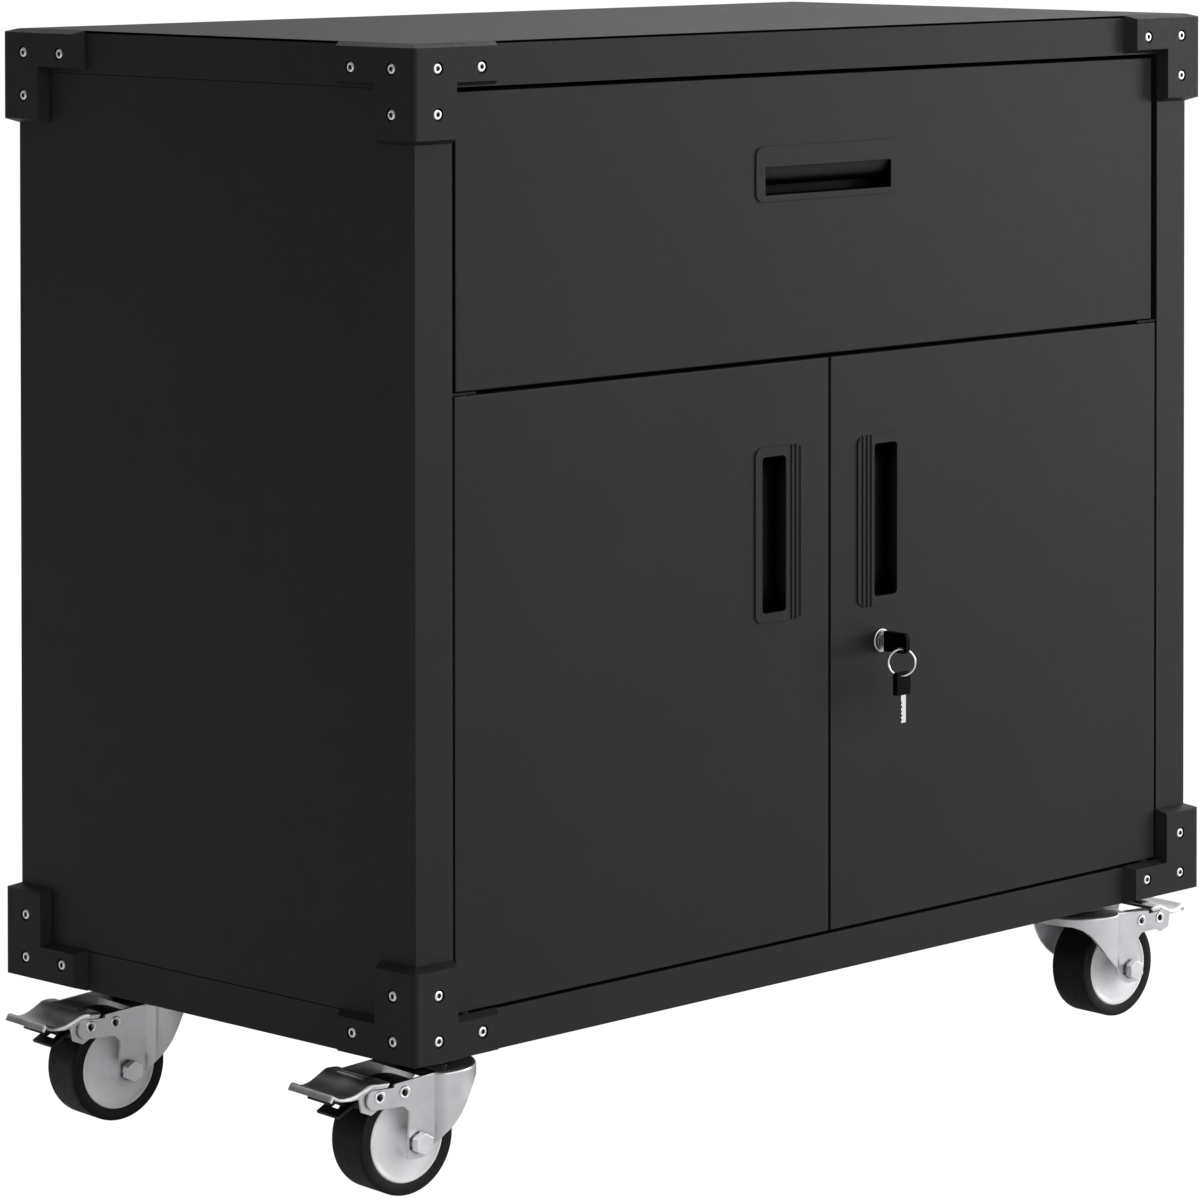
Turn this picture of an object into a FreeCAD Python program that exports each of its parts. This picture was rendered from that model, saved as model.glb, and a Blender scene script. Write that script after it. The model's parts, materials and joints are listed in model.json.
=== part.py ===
"""Rolling two-door cabinet with one wide drawer, on four swivel casters with brakes.

Millimetres. +X is right, +Y is back, +Z is up. The origin is on the floor, under the
middle of the cabinet's frame. The front faces -Y.
"""

import FreeCAD, Part
import math
import os

V = FreeCAD.Vector

# ---------------------------------------------------------------- driving dimensions
FRAME_WIDTH = 784.0
FRAME_DEPTH = 400.0
FRAME_HEIGHT = 657.0
UNDERSIDE = 95.0  # height of the frame's underside above the floor
SHEET = 1.0  # sheet steel thickness
BEND = 1.5  # outer bend radius of the panels
TOP_RIM = 29.0
BOTTOM_RIM = 27.0
RIM_JOINT = 0.8  # open joint between a rim and a side panel
POST_FACE = 33.0  # width of a side panel's front and rear flanges
POST_RETURN = 18.0
TONGUE = 20.0  # how far the side panels reach inside the trays
SLIP = 0.1  # gap between a tongue and the tray around it

DOOR_GAP = 2.1
DOOR_TOP = 523.3
DOOR_DEPTH = 17.0
DOOR_RETURN = 14.0
HINGE_IN = 10.0  # hinge axis to the door's side edge
HINGE_BACK = 5.0  # hinge axis to the door's front face
PIN_RADIUS = 3.0
PIN_COLLAR = 4.5
LOWER_PIN = 22.0
UPPER_PIN = 15.5
CATCH_X = (5.0, 35.0)
CATCH_Y = (18.5, 40.0)  # behind the frame's front
CATCH_HEIGHT = 14.0
RUNNING = 0.05  # radial clearance of a pin or plug that turns

RAIL_BACK = 21.0  # the rail's web, behind the frame's front
RAIL_FLANGE = 30.0
EAR_REACH = 22.0
EAR_SHEET = 1.5
EAR_FRONT = 0.8  # the ears' edge, behind the frame's front

DRAWER_GAP = 4.5
DRAWER_RECESS = 1.7
DRAWER_BOTTOM = 526.0
DRAWER_TOP = 720.0
DRAWER_PAN = 18.0
BOX_BOTTOM = 541.0
BOX_TOP = 690.0
BOX_LENGTH = 350.0
BOX_HEM = 5.0

GUARD_STAND = 8.0  # how far a corner guard stands off the frame
GUARD_ARM = 71.5
GUARD_ARM_BEVEL = 5.5
GUARD_POST = 65.0
GUARD_POST_BEVEL = 3.2
GUARD_POST_WIDTH = 32.5
GUARD_WIDTH_BEVEL = 2.5
GUARD_HEIGHT = 28.0
GUARD_HEIGHT_BEVEL = 2.7
GUARD_END_BEVEL = 2.4
GUARD_EDGE_ROUND = 3.6
GUARD_SCREWS = ((13.6, 16.0), (52.4, 16.0), (13.6, 45.5))
SCREW_HEAD = 3.7
SCREW_TOP = 2.9
SCREW_HEAD_HEIGHT = 1.4
SCREW_SOCKET = 1.6
SCREW_SHANK = 1.5
SCREW_LENGTH = 9.5
SCREW_BORE = 4.4  # radius of the counterbore round a guard screw's head
SCREW_SEAT = 1.6  # depth of that counterbore
SCREW_CLEARANCE = 1.8

WHEEL_RADIUS = 37.2
WHEEL_WIDTH = 33.2
SHOULDER = 2.6  # radius of the tyre's shoulders
HUB_RADIUS = 28.9
HUB_RECESS = 0.6  # how far the hub's rim sits behind the tyre's side
BOSS_RADIUS = 7.5
CASTER_IN = 57.0  # swivel axis to the frame's side
CASTER_BACK = 54.4  # swivel axis to the frame's front or back
TRAIL = 25.0  # swivel axis to the axle
LEFT_HEADING = 173.5  # where the left casters' pedals point, from +X towards +Y
RIGHT_HEADING = 356.0
AXLE_RADIUS = 4.0
BOLT_RADIUS = 7.5  # axle bolt's head, centre to corner
BOLT_HEAD = 5.4
BOLT_WASHER = 1.5
BOLT_COLLAR = 6.2  # radius of the washer, which hides behind the bolt's head
FORK_TOP = 82.0
FORK_HALF = 29.6  # half the fork's width across its flat sides
FORK_SHEET = 2.0
FORK_BEND = 3.5
FORK_CROWN = 2.4
DOME_RADIUS = 35.0
BEND_LINE = 12.4  # where a flat side meets the dome
STRIP_TOP = 80.6  # top edge of a flat side at the dome
STRIP_FALL = 2.5  # how much lower that edge is at the pedal
SLOT_START = 45.0
EAR_TOP = 76.3
EAR_LOW = 63.1
EAR_END = 66.0
ARCH_U = 32.0  # front edge of a leg
LEG_LOW = 27.1
SKIRT = ((16, 30), (12, 35), (7, 41), (0, 47), (-6, 51.5), (-12, 60), (-17, 67), (-23, 72),
         (-29, 74.6), (-40, 75.6))  # lower edge of the dome, from the leg to the back
CAP_HEIGHT = 7.0
CAP_RISE = 4.5  # underside of the race cap above the fork's top
CAP_ROUND = 3.0
STEM_COLLAR = 12.0
STEM_THREAD = 5.0
STEM_ENGAGED = 14.0  # how far the thread reaches into the frame
RACE_RADIUS = 18.0
RACE_HEIGHT = 4.2
KINGPIN = 7.0
KINGPIN_DROP = 6.0  # lower end of the kingpin, below the fork's top
KINGPIN_HEAD = 10.5
KINGPIN_HEAD_HEIGHT = 3.2
RIVET_RADIUS = 3.0
RIVET_BORE = 1.9
RIVET_FLANGE = 4.3
RIVET_RIM = 0.9
PIVOT = (56.5, 71.3)  # the pedal's hinge, along the trail and above the floor
EAR_HOLES = ((36.5, 71.8), PIVOT)
PEDAL_Z = 80.6
PEDAL_SHEET = 1.8
PEDAL_LIP = 24.0  # half the width of the pedal's tip
PEDAL_TIP = 92.0
SHOE_HALF = 12.0

SHELF_Z = 318.0
SHELF_SKIRT = 20.0
SHELF_FRONT = 35.0  # the shelf's front edge, behind the frame's front
CLIP_HALF = 10.0
CLIP_REACH = 16.0
CLIP_SHEET = 1.2
CLIP_ROWS = (-110.0, 120.0)  # where the shelf's clips are, from front to back
BACK_SCREW_HEIGHTS = (190.0, 310.0, 430.0, 550.0, 660.0)

PULL_CORNER = 6.5
PULL_PROUD = 1.0
CUP_WALL = 1.5
CUP_DEPTH = 14.0
DOOR_PULL_X = (-75.8, -28.3)
DOOR_PULL_Z = (345.5, 465.9)
DOOR_OPENING_X = (-69.0, -45.4)
DOOR_OPENING_Z = (352.0, 459.3)
DOOR_GROOVES = ((-42.2, -39.5), (-37.9, -35.2), (-33.5, -30.8))
DRAWER_PULL_X = (-73.2, 73.3)
DRAWER_PULL_Z = (634.0, 672.0)
DRAWER_OPENING_X = (-64.1, 64.2)
DRAWER_OPENING_Z = (638.5, 657.8)

LOCK_X = 52.7
LOCK_Z = 320.6
LOCK_FLANGE = 8.3
LOCK_BARREL = 6.5
LOCK_PLUG = 5.0
LOCK_NUT = 11.0
CAM_LENGTH = 60.7
CAM_HALF = 6.0
CAM_EYE = 8.0
STUD_HALF = 2.5  # half the width of the square stud that carries the cam
HEAD_HALF = 7.1  # half the height of a key's moulded head
HEAD_THICK = 2.0  # half the thickness of a key's moulded head
RING_RADIUS = 9.4
RING_WIRE = 0.8
RING_TURN = 45.0
BLADE_HALF = 0.9
BLADE_WIDTH = 5.0
BLADE_LEFT = 1.6  # the spare blade's left edge, left of the lock's axis
TEETH = 5
TOOTH_STEP = 3.0

# ---------------------------------------------------------------- derived positions
HALF_W = FRAME_WIDTH / 2
HALF_D = FRAME_DEPTH / 2
FRONT = -HALF_D
TOP = UNDERSIDE + FRAME_HEIGHT
SIDE_LOW = UNDERSIDE + BOTTOM_RIM + RIM_JOINT
SIDE_HIGH = TOP - TOP_RIM - RIM_JOINT
OPENING = HALF_W - POST_FACE
DOOR_LOW = UNDERSIDE + BOTTOM_RIM + DOOR_GAP
DOOR_EDGE = OPENING - DOOR_GAP
HINGE_X = DOOR_EDGE - HINGE_IN
HINGE_Y = FRONT + HINGE_BACK
DRAWER_HALF = OPENING - DRAWER_GAP
DRAWER_FACE = FRONT + DRAWER_RECESS

SLIDE_BOTTOM = 560.0
SLIDE_HEIGHT = 45.0
SLIDE_FRONT = FRONT + 22.0
SLIDE_WALL = OPENING - SHEET
SLIDE_PACK = 12.7
BRACKET_SHEET = 1.5
BOX_HALF = SLIDE_WALL - SLIDE_PACK - 0.3

HINGE_EAR = DOOR_TOP + 0.7  # underside of the ears that hold the upper hinge pins
RAIL_LOW = DOOR_TOP - 18.3
BACK_SCREW_X = OPENING + 6

CAM_Y = FRONT + 23.2
HEAD_START = FRONT - 4.5
HEAD_END = FRONT - 26.0
SLOT_Y = FRONT - 20.0
SLOT_Z = LOCK_Z - 4.3
RING_Z = SLOT_Z - RING_RADIUS + 0.1
SPARE_SLOT_Z = RING_Z - RING_RADIUS - 0.1
SPARE_TOP = SPARE_SLOT_Z + 2.7
SPARE_HEAD_END = SPARE_SLOT_Z - 13.0
SPARE_END = SPARE_HEAD_END - 19.8

PEDAL_HALF = FORK_HALF - FORK_SHEET - 0.6
CASTER_X = HALF_W - CASTER_IN
CASTER_Y = HALF_D - CASTER_BACK
CASTERS = {
    "front_left": (-CASTER_X, -CASTER_Y, LEFT_HEADING),
    "front_right": (CASTER_X, -CASTER_Y, RIGHT_HEADING),
    "rear_left": (-CASTER_X, CASTER_Y, LEFT_HEADING),
    "rear_right": (CASTER_X, CASTER_Y, RIGHT_HEADING),
}


# ---------------------------------------------------------------- helpers
def box(x0, x1, y0, y1, z0, z1):
    """A box between two corners, given in any order."""
    lo = V(min(x0, x1), min(y0, y1), min(z0, z1))
    hi = V(max(x0, x1), max(y0, y1), max(z0, z1))
    return Part.makeBox(hi.x - lo.x, hi.y - lo.y, hi.z - lo.z, lo)


def rod(radius, start, direction, length):
    """A round rod from start along direction."""
    return Part.makeCylinder(radius, length, V(*start), V(*direction))


def fuse(*shapes):
    """One solid made of touching shapes, with no seams left on flat faces."""
    body = shapes[0].multiFuse(list(shapes[1:])) if len(shapes) > 1 else shapes[0]
    return body.removeSplitter()


def outline(points, extrude):
    """A straight-sided outline, extruded along the vector extrude."""
    corners = [V(*p) for p in points]
    face = Part.Face(Part.makePolygon(corners + corners[:1]))
    return face.extrude(V(*extrude))


def edges_where(shape, test):
    """The straight edges whose two ends both pass a test."""
    picked = []
    for edge in shape.Edges:
        ends = [v.Point for v in edge.Vertexes]
        if len(ends) == 2 and all(test(p) for p in ends):
            picked.append(edge)
    return picked


def edges_where_circle(shape, y):
    """The circular edges at one y."""
    return [e for e in shape.Edges if close(e.BoundBox.YMin, y) and close(e.BoundBox.YMax, y)]


def close(a, b, slack=0.01):
    return abs(a - b) < slack


def vertical(edge):
    a, b = [v.Point for v in edge.Vertexes]
    return close(a.x, b.x) and close(a.y, b.y)


def front_plate(x0, x1, z0, z1, y0, y1, radius):
    """A plate facing the front with rounded corners."""
    plate = box(x0, x1, y0, y1, z0, z1)
    corners = [e for e in plate.Edges if close(e.Vertexes[0].X, e.Vertexes[1].X)
               and close(e.Vertexes[0].Z, e.Vertexes[1].Z)]
    return plate.makeFillet(radius, corners)


def mirror_x(shape):
    return shape.mirror(V(0, 0, 0), V(1, 0, 0))


def mirror_y(shape):
    return shape.mirror(V(0, 0, 0), V(0, 1, 0))


def save(node, *solids):
    """Writes one node. Several solids stay separate in it."""
    shape = solids[0] if len(solids) == 1 else Part.makeCompound(list(solids))
    for solid in shape.Solids:
        if not solid.isValid():
            raise ValueError(node + " is not a valid solid")
    shape.exportStep(os.path.join("parts", node + ".step"))


# ---------------------------------------------------------------- corner guards
def guard_face(flip):
    """One face's L of a guard, with bevelled edges, cut back to the mitre at the corner."""
    foot = [(-GUARD_STAND, 0), (GUARD_ARM, 0), (GUARD_ARM, GUARD_HEIGHT),
            (GUARD_POST_WIDTH, GUARD_HEIGHT), (GUARD_POST_WIDTH, GUARD_POST),
            (-GUARD_STAND, GUARD_POST)]
    arm = GUARD_ARM - GUARD_ARM_BEVEL
    high = GUARD_HEIGHT - GUARD_HEIGHT_BEVEL
    width = GUARD_POST_WIDTH - GUARD_WIDTH_BEVEL
    tall = GUARD_POST - GUARD_POST_BEVEL
    face = [(-GUARD_STAND, GUARD_END_BEVEL), (arm, GUARD_END_BEVEL), (arm, high),
            (width, high), (width, tall), (-GUARD_STAND, tall)]
    rings = []
    for points, y in ((foot, 0.0), (face, -GUARD_STAND)):
        ring = [V(y, x, z) if flip else V(x, y, z) for x, z in points]
        rings.append(Part.makePolygon(ring + ring[:1]))
    plate = Part.makeLoft(rings, True, True)
    far = 2 * GUARD_ARM
    if flip:
        mitre = [(-far, -far, -far), (far, far, -far), (-far, far, -far)]
    else:
        mitre = [(-far, -far, -far), (far, -far, -far), (far, far, -far)]
    return plate.common(outline(mitre, (0, 0, 2 * far)))


def corner_guard():
    """A guard on the corner at x = 0, y = 0, z = 0, for a frame on the positive side."""
    body = fuse(guard_face(False), guard_face(True))
    stand = -GUARD_STAND
    corner = edges_where(body, lambda p: close(p.x, stand) and close(p.y, stand))
    body = body.makeFillet(GUARD_EDGE_ROUND, corner)
    for along, z in GUARD_SCREWS:
        for place, inwards in (((along, stand, z), (0, 1, 0)), ((stand, along, z), (1, 0, 0))):
            body = body.cut(rod(SCREW_BORE, place, inwards, SCREW_SEAT))
            body = body.cut(rod(SCREW_CLEARANCE, place, inwards, GUARD_STAND + SHEET))
    return body


def guard_screw():
    """A button head screw with a socket, its head towards -Y and its seat at y = 0."""
    head = Part.makeCone(SCREW_HEAD, SCREW_TOP, SCREW_HEAD_HEIGHT, V(0, 0, 0), V(0, -1, 0))
    shank = rod(SCREW_SHANK, (0, 0, 0), (0, 1, 0), SCREW_LENGTH)
    socket = rod(SCREW_SOCKET, (0, -SCREW_HEAD_HEIGHT, 0), (0, 1, 0), 1.0)
    return fuse(head, shank).cut(socket)


def corner_screws():
    """The six screws of the guard on the corner at the origin."""
    seat = -GUARD_STAND + SCREW_SEAT
    screws = []
    for along, z in GUARD_SCREWS:
        facing_front = guard_screw()
        facing_front.translate(V(along, seat, z))
        facing_side = guard_screw()
        facing_side.rotate(V(0, 0, 0), V(0, 0, 1), -90)
        facing_side.translate(V(seat, along, z))
        screws += [facing_front, facing_side]
    return screws


def at_corners(shapes):
    """Copies of a corner's shapes on all eight corners of the frame."""
    placed = []
    for shape in shapes:
        low = shape.copy()
        low.translate(V(-HALF_W, -HALF_D, UNDERSIDE))
        middle = UNDERSIDE + FRAME_HEIGHT / 2
        high = low.mirror(V(0, 0, middle), V(0, 0, 1))
        for piece in (low, high):
            placed += [piece, mirror_x(piece), mirror_y(piece), mirror_x(mirror_y(piece))]
    return placed


def screw_holes():
    """Clearance holes in the frame's sheets for the guards' screws."""
    holes = []
    for along, z in GUARD_SCREWS:
        holes.append(rod(1.8, (along, -1, z), (0, 1, 0), 5.0))
        holes.append(rod(1.8, (-1, along, z), (1, 0, 0), 5.0))
    return Part.makeCompound(at_corners(holes))


# ---------------------------------------------------------------- frame
def tray(z_flat, z_rim, lip):
    """A sheet tray: a flat panel at z_flat and a rim of four walls ending at z_rim."""
    block = box(-HALF_W, HALF_W, -HALF_D, HALF_D, z_flat, z_rim)
    outer = edges_where(block, lambda p: close(p.z, z_flat))
    block = block.makeFillet(BEND, outer)
    inward = SHEET if z_rim > z_flat else -SHEET
    hollow = box(-HALF_W + SHEET, HALF_W - SHEET, -HALF_D + SHEET, HALF_D - SHEET,
                 z_flat + inward, z_rim + 5 * inward)
    body = block.cut(hollow)
    if lip:
        ledge = box(-OPENING + 1, OPENING - 1, FRONT + SHEET / 2, FRONT + lip,
                    z_rim - SHEET, z_rim)
        body = fuse(body, ledge)
    return body


def top_panel():
    return tray(TOP, TOP - TOP_RIM, 0).cut(screw_holes())


def bottom_panel():
    """The bottom tray, its hinge ledge, and a welded nut over each caster stem."""
    body = tray(UNDERSIDE, UNDERSIDE + BOTTOM_RIM, 22.0)
    for x, y, _ in CASTERS.values():
        nut = Part.makeCylinder(10.0, 9.0, V(x, y, UNDERSIDE + SHEET / 2))
        body = fuse(body, nut)
    for x, y, _ in CASTERS.values():
        body = body.cut(rod(5.0, (x, y, UNDERSIDE - 1), (0, 0, 1), 20.0))
    ledge = UNDERSIDE + BOTTOM_RIM - 2 * SHEET
    for side in (-1, 1):
        body = body.cut(rod(PIN_RADIUS, (side * HINGE_X, HINGE_Y, ledge), (0, 0, 1), 4.0))
    return body.cut(screw_holes())


def channel(inset, z0, z1, sheet):
    """The left side panel's C section, set in from the frame's faces."""
    x0 = -HALF_W + inset
    y0 = -HALF_D + inset
    block = box(x0, -OPENING, y0, -y0, z0, z1)
    bends = [e for e in edges_where(block, lambda p: close(p.x, x0)) if vertical(e)]
    block = block.makeFillet(0.8, bends)
    hollow = box(x0 + sheet, -OPENING + 1, y0 + sheet, -y0 - sheet, z0 - 1, z1 + 1)
    return block.cut(hollow)


def side_panel():
    """The left side panel: skin, two flanges, a return at the opening, and two tongues."""
    skin = channel(0, SIDE_LOW, SIDE_HIGH, SHEET)
    inner = SHEET + SLIP
    joggle = 3.0
    low = channel(inner, SIDE_LOW - TONGUE, SIDE_LOW + joggle, SHEET)
    high = channel(inner, SIDE_HIGH - joggle, SIDE_HIGH + TONGUE, SHEET)
    low_step = channel(SHEET / 2, SIDE_LOW, SIDE_LOW + joggle, SHEET)
    high_step = channel(SHEET / 2, SIDE_HIGH - joggle, SIDE_HIGH, SHEET)
    fold = box(-OPENING - SHEET, -OPENING, FRONT + SHEET / 2, FRONT + POST_RETURN,
               SIDE_LOW, SIDE_HIGH)
    body = fuse(skin, low_step, high_step, low, high, fold)
    return body.cut(screw_holes())


def back_panel():
    """A flat sheet inside the side panels' rear flanges."""
    reach = OPENING + 12
    face = HALF_D - SHEET - SLIP
    return box(-reach, reach, face - SHEET, face, SIDE_LOW + 4, SIDE_HIGH - 4)


def divider_rail():
    """A channel between drawer and doors, with two ears that hold the upper hinge pins."""
    y = FRONT + RAIL_BACK
    z0 = RAIL_LOW
    z1 = BOX_BOTTOM - 4.0
    web = box(-OPENING, OPENING, y, y + SHEET, z0, z1)
    upper = box(-OPENING, OPENING, y, y + RAIL_FLANGE, z1 - SHEET, z1)
    lower = box(-OPENING, OPENING, y, y + RAIL_FLANGE, z0, z0 + SHEET)
    parts = [web, upper, lower]
    for side in (-1, 1):
        ear = box(side * OPENING, side * (OPENING - EAR_REACH), FRONT + EAR_FRONT,
                  y + SHEET / 2, HINGE_EAR, HINGE_EAR + EAR_SHEET)
        parts.append(ear)
    body = fuse(*parts)
    for side in (-1, 1):
        body = body.cut(rod(PIN_RADIUS, (side * HINGE_X, HINGE_Y, HINGE_EAR - 1), (0, 0, 1), 4))
    return body


def shelf():
    """A pan-shaped shelf with notches over its clips."""
    half = HALF_W - SHEET - 2
    y0 = FRONT + SHELF_FRONT
    y1 = HALF_D - 8
    block = box(-half, half, y0, y1, SHELF_Z - SHELF_SKIRT, SHELF_Z)
    rounded = edges_where(block, lambda p: close(p.z, SHELF_Z))
    block = block.makeFillet(BEND, rounded)
    hollow = box(-half + SHEET, half - SHEET, y0 + SHEET, y1 - SHEET,
                 SHELF_Z - SHELF_SKIRT - 1, SHELF_Z - SHEET)
    body = block.cut(hollow)
    for side in (-1, 1):
        for y in CLIP_ROWS:
            notch = box(side * (half + 1), side * (half - 2), y - CLIP_HALF - 2,
                        y + CLIP_HALF + 2, SHELF_Z - SHELF_SKIRT - 1, SHELF_Z - SHEET)
            body = body.cut(notch)
    return body


def shelf_clips():
    """Angle clips on the side walls that the shelf rests on."""
    clips = []
    wall = HALF_W - SHEET
    top = SHELF_Z - SHEET - 0.2
    for side in (-1, 1):
        for y in CLIP_ROWS:
            plate = box(side * wall, side * (wall - CLIP_SHEET), y - CLIP_HALF, y + CLIP_HALF,
                        SHELF_Z - 18, top)
            rest = box(side * wall, side * (wall - CLIP_REACH), y - CLIP_HALF, y + CLIP_HALF,
                       top - CLIP_SHEET, top)
            clips.append(fuse(plate, rest))
    return clips


def slide_bracket(side):
    """A channel that brings the drawer slide in line with the opening."""
    z0 = SLIDE_BOTTOM - 3
    z1 = SLIDE_BOTTOM + SLIDE_HEIGHT + 3
    y0 = SLIDE_FRONT + 1
    y1 = HALF_D - 6
    outer = box(side * (HALF_W - SHEET), side * SLIDE_WALL, y0, y1, z0, z1)
    inner = box(side * (HALF_W + 1), side * (SLIDE_WALL + BRACKET_SHEET), y0 - 1, y1 + 1,
                z0 + BRACKET_SHEET, z1 - BRACKET_SHEET)
    return outer.cut(inner)


def slide_member(side, inset, height, sheet, y0, y1, deep):
    """One rolled C of a telescopic slide, open towards the drawer or away from it."""
    x0 = side * (SLIDE_WALL - inset)
    x1 = side * (SLIDE_WALL - inset - deep)
    middle = SLIDE_BOTTOM + SLIDE_HEIGHT / 2
    outer = box(x0, x1, y0, y1, middle - height / 2, middle + height / 2)
    back = side * (SLIDE_WALL - inset - sheet)
    mouth = side * (SLIDE_WALL - inset - deep - 1)
    hollow = box(back, mouth, y0 - 1, y1 + 1,
                 middle - height / 2 + sheet, middle + height / 2 - sheet)
    return outer.cut(hollow)


def hinge_pins():
    """Two pins for each door. The lower one has a collar that carries the door."""
    pins = []
    rim = UNDERSIDE + BOTTOM_RIM
    for side in (-1, 1):
        x = side * HINGE_X
        stem = rod(PIN_RADIUS, (x, HINGE_Y, rim - 6), (0, 0, 1), LOWER_PIN)
        collar = rod(PIN_COLLAR, (x, HINGE_Y, rim), (0, 0, 1), DOOR_GAP - 0.1)
        pins.append(fuse(stem, collar))
        pins.append(rod(PIN_RADIUS, (x, HINGE_Y, HINGE_EAR - 14), (0, 0, 1), UPPER_PIN))
    return pins


def magnetic_catches():
    """A magnetic catch under the rail for each door."""
    near, far = CATCH_X
    front, back = CATCH_Y
    return [box(side * near, side * far, FRONT + front, FRONT + back,
                RAIL_LOW - CATCH_HEIGHT, RAIL_LOW) for side in (-1, 1)]


def panel_screws():
    """Pan head screws along the back panel's edges, heads outwards."""
    screws = []
    for side in (-1, 1):
        for z in BACK_SCREW_HEIGHTS:
            head = Part.makeCone(3.6, 2.6, 1.8, V(side * BACK_SCREW_X, HALF_D, z), V(0, 1, 0))
            shank = rod(1.6, (side * BACK_SCREW_X, HALF_D, z), (0, -1, 0), 8)
            screws.append(fuse(head, shank))
    return screws


def panel_screw_holes():
    holes = [rod(1.7, (side * BACK_SCREW_X, HALF_D + 1, z), (0, -1, 0), 10)
             for side in (-1, 1) for z in BACK_SCREW_HEIGHTS]
    return Part.makeCompound(holes)


# ---------------------------------------------------------------- pulls
def pull_bezel(x0, x1, z0, z1, face):
    return front_plate(x0, x1, z0, z1, face - PULL_PROUD, face, PULL_CORNER)


def door_pull():
    """The left door's flush pull: a bezel with three grooves round a deep cup."""
    bezel = pull_bezel(*DOOR_PULL_X, *DOOR_PULL_Z, FRONT)
    x0, x1 = DOOR_OPENING_X
    z0, z1 = DOOR_OPENING_Z
    cup = front_plate(x0 - CUP_WALL, x1 + CUP_WALL, z0 - CUP_WALL, z1 + CUP_WALL,
                      FRONT - 0.5, FRONT + CUP_DEPTH, 4.0)
    body = fuse(bezel, cup)
    body = body.cut(front_plate(x0, x1, z0, z1, FRONT - 2, FRONT + CUP_DEPTH - CUP_WALL, 3.0))
    for g0, g1 in DOOR_GROOVES:
        groove = box(g0, g1, FRONT - 1.1, FRONT - 0.3, DOOR_PULL_Z[0] - 1, DOOR_PULL_Z[1] + 1)
        body = body.cut(groove)
    return body


def door_pull_cutout():
    x0, x1 = DOOR_OPENING_X
    z0, z1 = DOOR_OPENING_Z
    wide = CUP_WALL + 0.3
    return box(x0 - wide, x1 + wide, FRONT - 1, FRONT + 3, z0 - wide, z1 + wide)


def drawer_pull():
    """The drawer's flush pull, whose cup deepens in steps from its top edge."""
    face = DRAWER_FACE
    bezel = pull_bezel(*DRAWER_PULL_X, *DRAWER_PULL_Z, face)
    x0, x1 = DRAWER_OPENING_X
    z0, z1 = DRAWER_OPENING_Z
    cup = front_plate(x0 - CUP_WALL, x1 + CUP_WALL, z0 - CUP_WALL, z1 + CUP_WALL,
                      face - 0.5, face + CUP_DEPTH, 3.0)
    deep = face + CUP_DEPTH - CUP_WALL
    profile = [(x0, face - 2, z1), (x0, face + 1, z1), (x0, face + 3.5, z1 - 7.2),
               (x0, face + 8.5, z1 - 12.2), (x0, deep, z1 - 13.2), (x0, deep, z0),
               (x0, face - 2, z0)]
    pocket = outline(profile, (x1 - x0, 0, 0))
    return fuse(bezel, cup).cut(pocket)


def drawer_pull_cutout():
    x0, x1 = DRAWER_OPENING_X
    z0, z1 = DRAWER_OPENING_Z
    wide = CUP_WALL + 0.3
    return box(x0 - wide, x1 + wide, DRAWER_FACE - 1, DRAWER_FACE + 3, z0 - wide, z1 + wide)


# ---------------------------------------------------------------- doors
def pan(x0, x1, z0, z1, face, depth, lip):
    """A sheet pan facing the front: a face, four folded edges and a return at the back."""
    block = box(x0, x1, face, face + depth, z0, z1)
    front_edges = edges_where(block, lambda p: close(p.y, face))
    block = block.makeFillet(0.8, front_edges)
    hollow = box(x0 + SHEET, x1 - SHEET, face + SHEET, face + depth - SHEET,
                 z0 + SHEET, z1 - SHEET)
    mouth = box(x0 + lip, x1 - lip, face + depth / 2, face + depth + 1, z0 + lip, z1 - lip)
    return block.cut(hollow).cut(mouth)


def door_skin():
    """The left door's skin with its hinge holes."""
    body = pan(-DOOR_EDGE, -DOOR_GAP / 2, DOOR_LOW, DOOR_TOP, FRONT, DOOR_DEPTH, DOOR_RETURN)
    bore = PIN_RADIUS + RUNNING
    body = body.cut(rod(bore, (-HINGE_X, HINGE_Y, DOOR_LOW - 1), (0, 0, 1), 4))
    body = body.cut(rod(bore, (-HINGE_X, HINGE_Y, DOOR_TOP - 3), (0, 0, 1), 4))
    return body.cut(door_pull_cutout())


def door_liner():
    """The flat sheet that closes the back of the left door."""
    y = FRONT + DOOR_DEPTH
    return box(-DOOR_EDGE + 1, -DOOR_GAP / 2 - 1, y, y + 0.8, DOOR_LOW + 1, DOOR_TOP - 1)


def lock_hole():
    return rod(LOCK_BARREL, (LOCK_X, FRONT - 1, LOCK_Z), (0, 1, 0), 22)


def lock_housing():
    flange = rod(LOCK_FLANGE, (LOCK_X, FRONT - 2.0, LOCK_Z), (0, 1, 0), 2.0)
    rim = edges_where_circle(flange, FRONT - 2.0)
    flange = flange.makeFillet(0.8, rim)
    barrel = rod(LOCK_BARREL, (LOCK_X, FRONT - 1.0, LOCK_Z), (0, 1, 0), 24.0)
    bore = rod(LOCK_PLUG + RUNNING, (LOCK_X, FRONT - 3, LOCK_Z), (0, 1, 0), 30)
    return fuse(flange, barrel).cut(bore)


def lock_nut():
    y = FRONT + DOOR_DEPTH + 0.8
    points = []
    for i in range(6):
        turn = math.radians(60 * i)
        points.append((LOCK_X + LOCK_NUT * math.cos(turn), y,
                       LOCK_Z + LOCK_NUT * math.sin(turn)))
    nut = outline(points, (0, 3.0, 0))
    return nut.cut(rod(LOCK_BARREL, (LOCK_X, y - 1, LOCK_Z), (0, 1, 0), 6))


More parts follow.
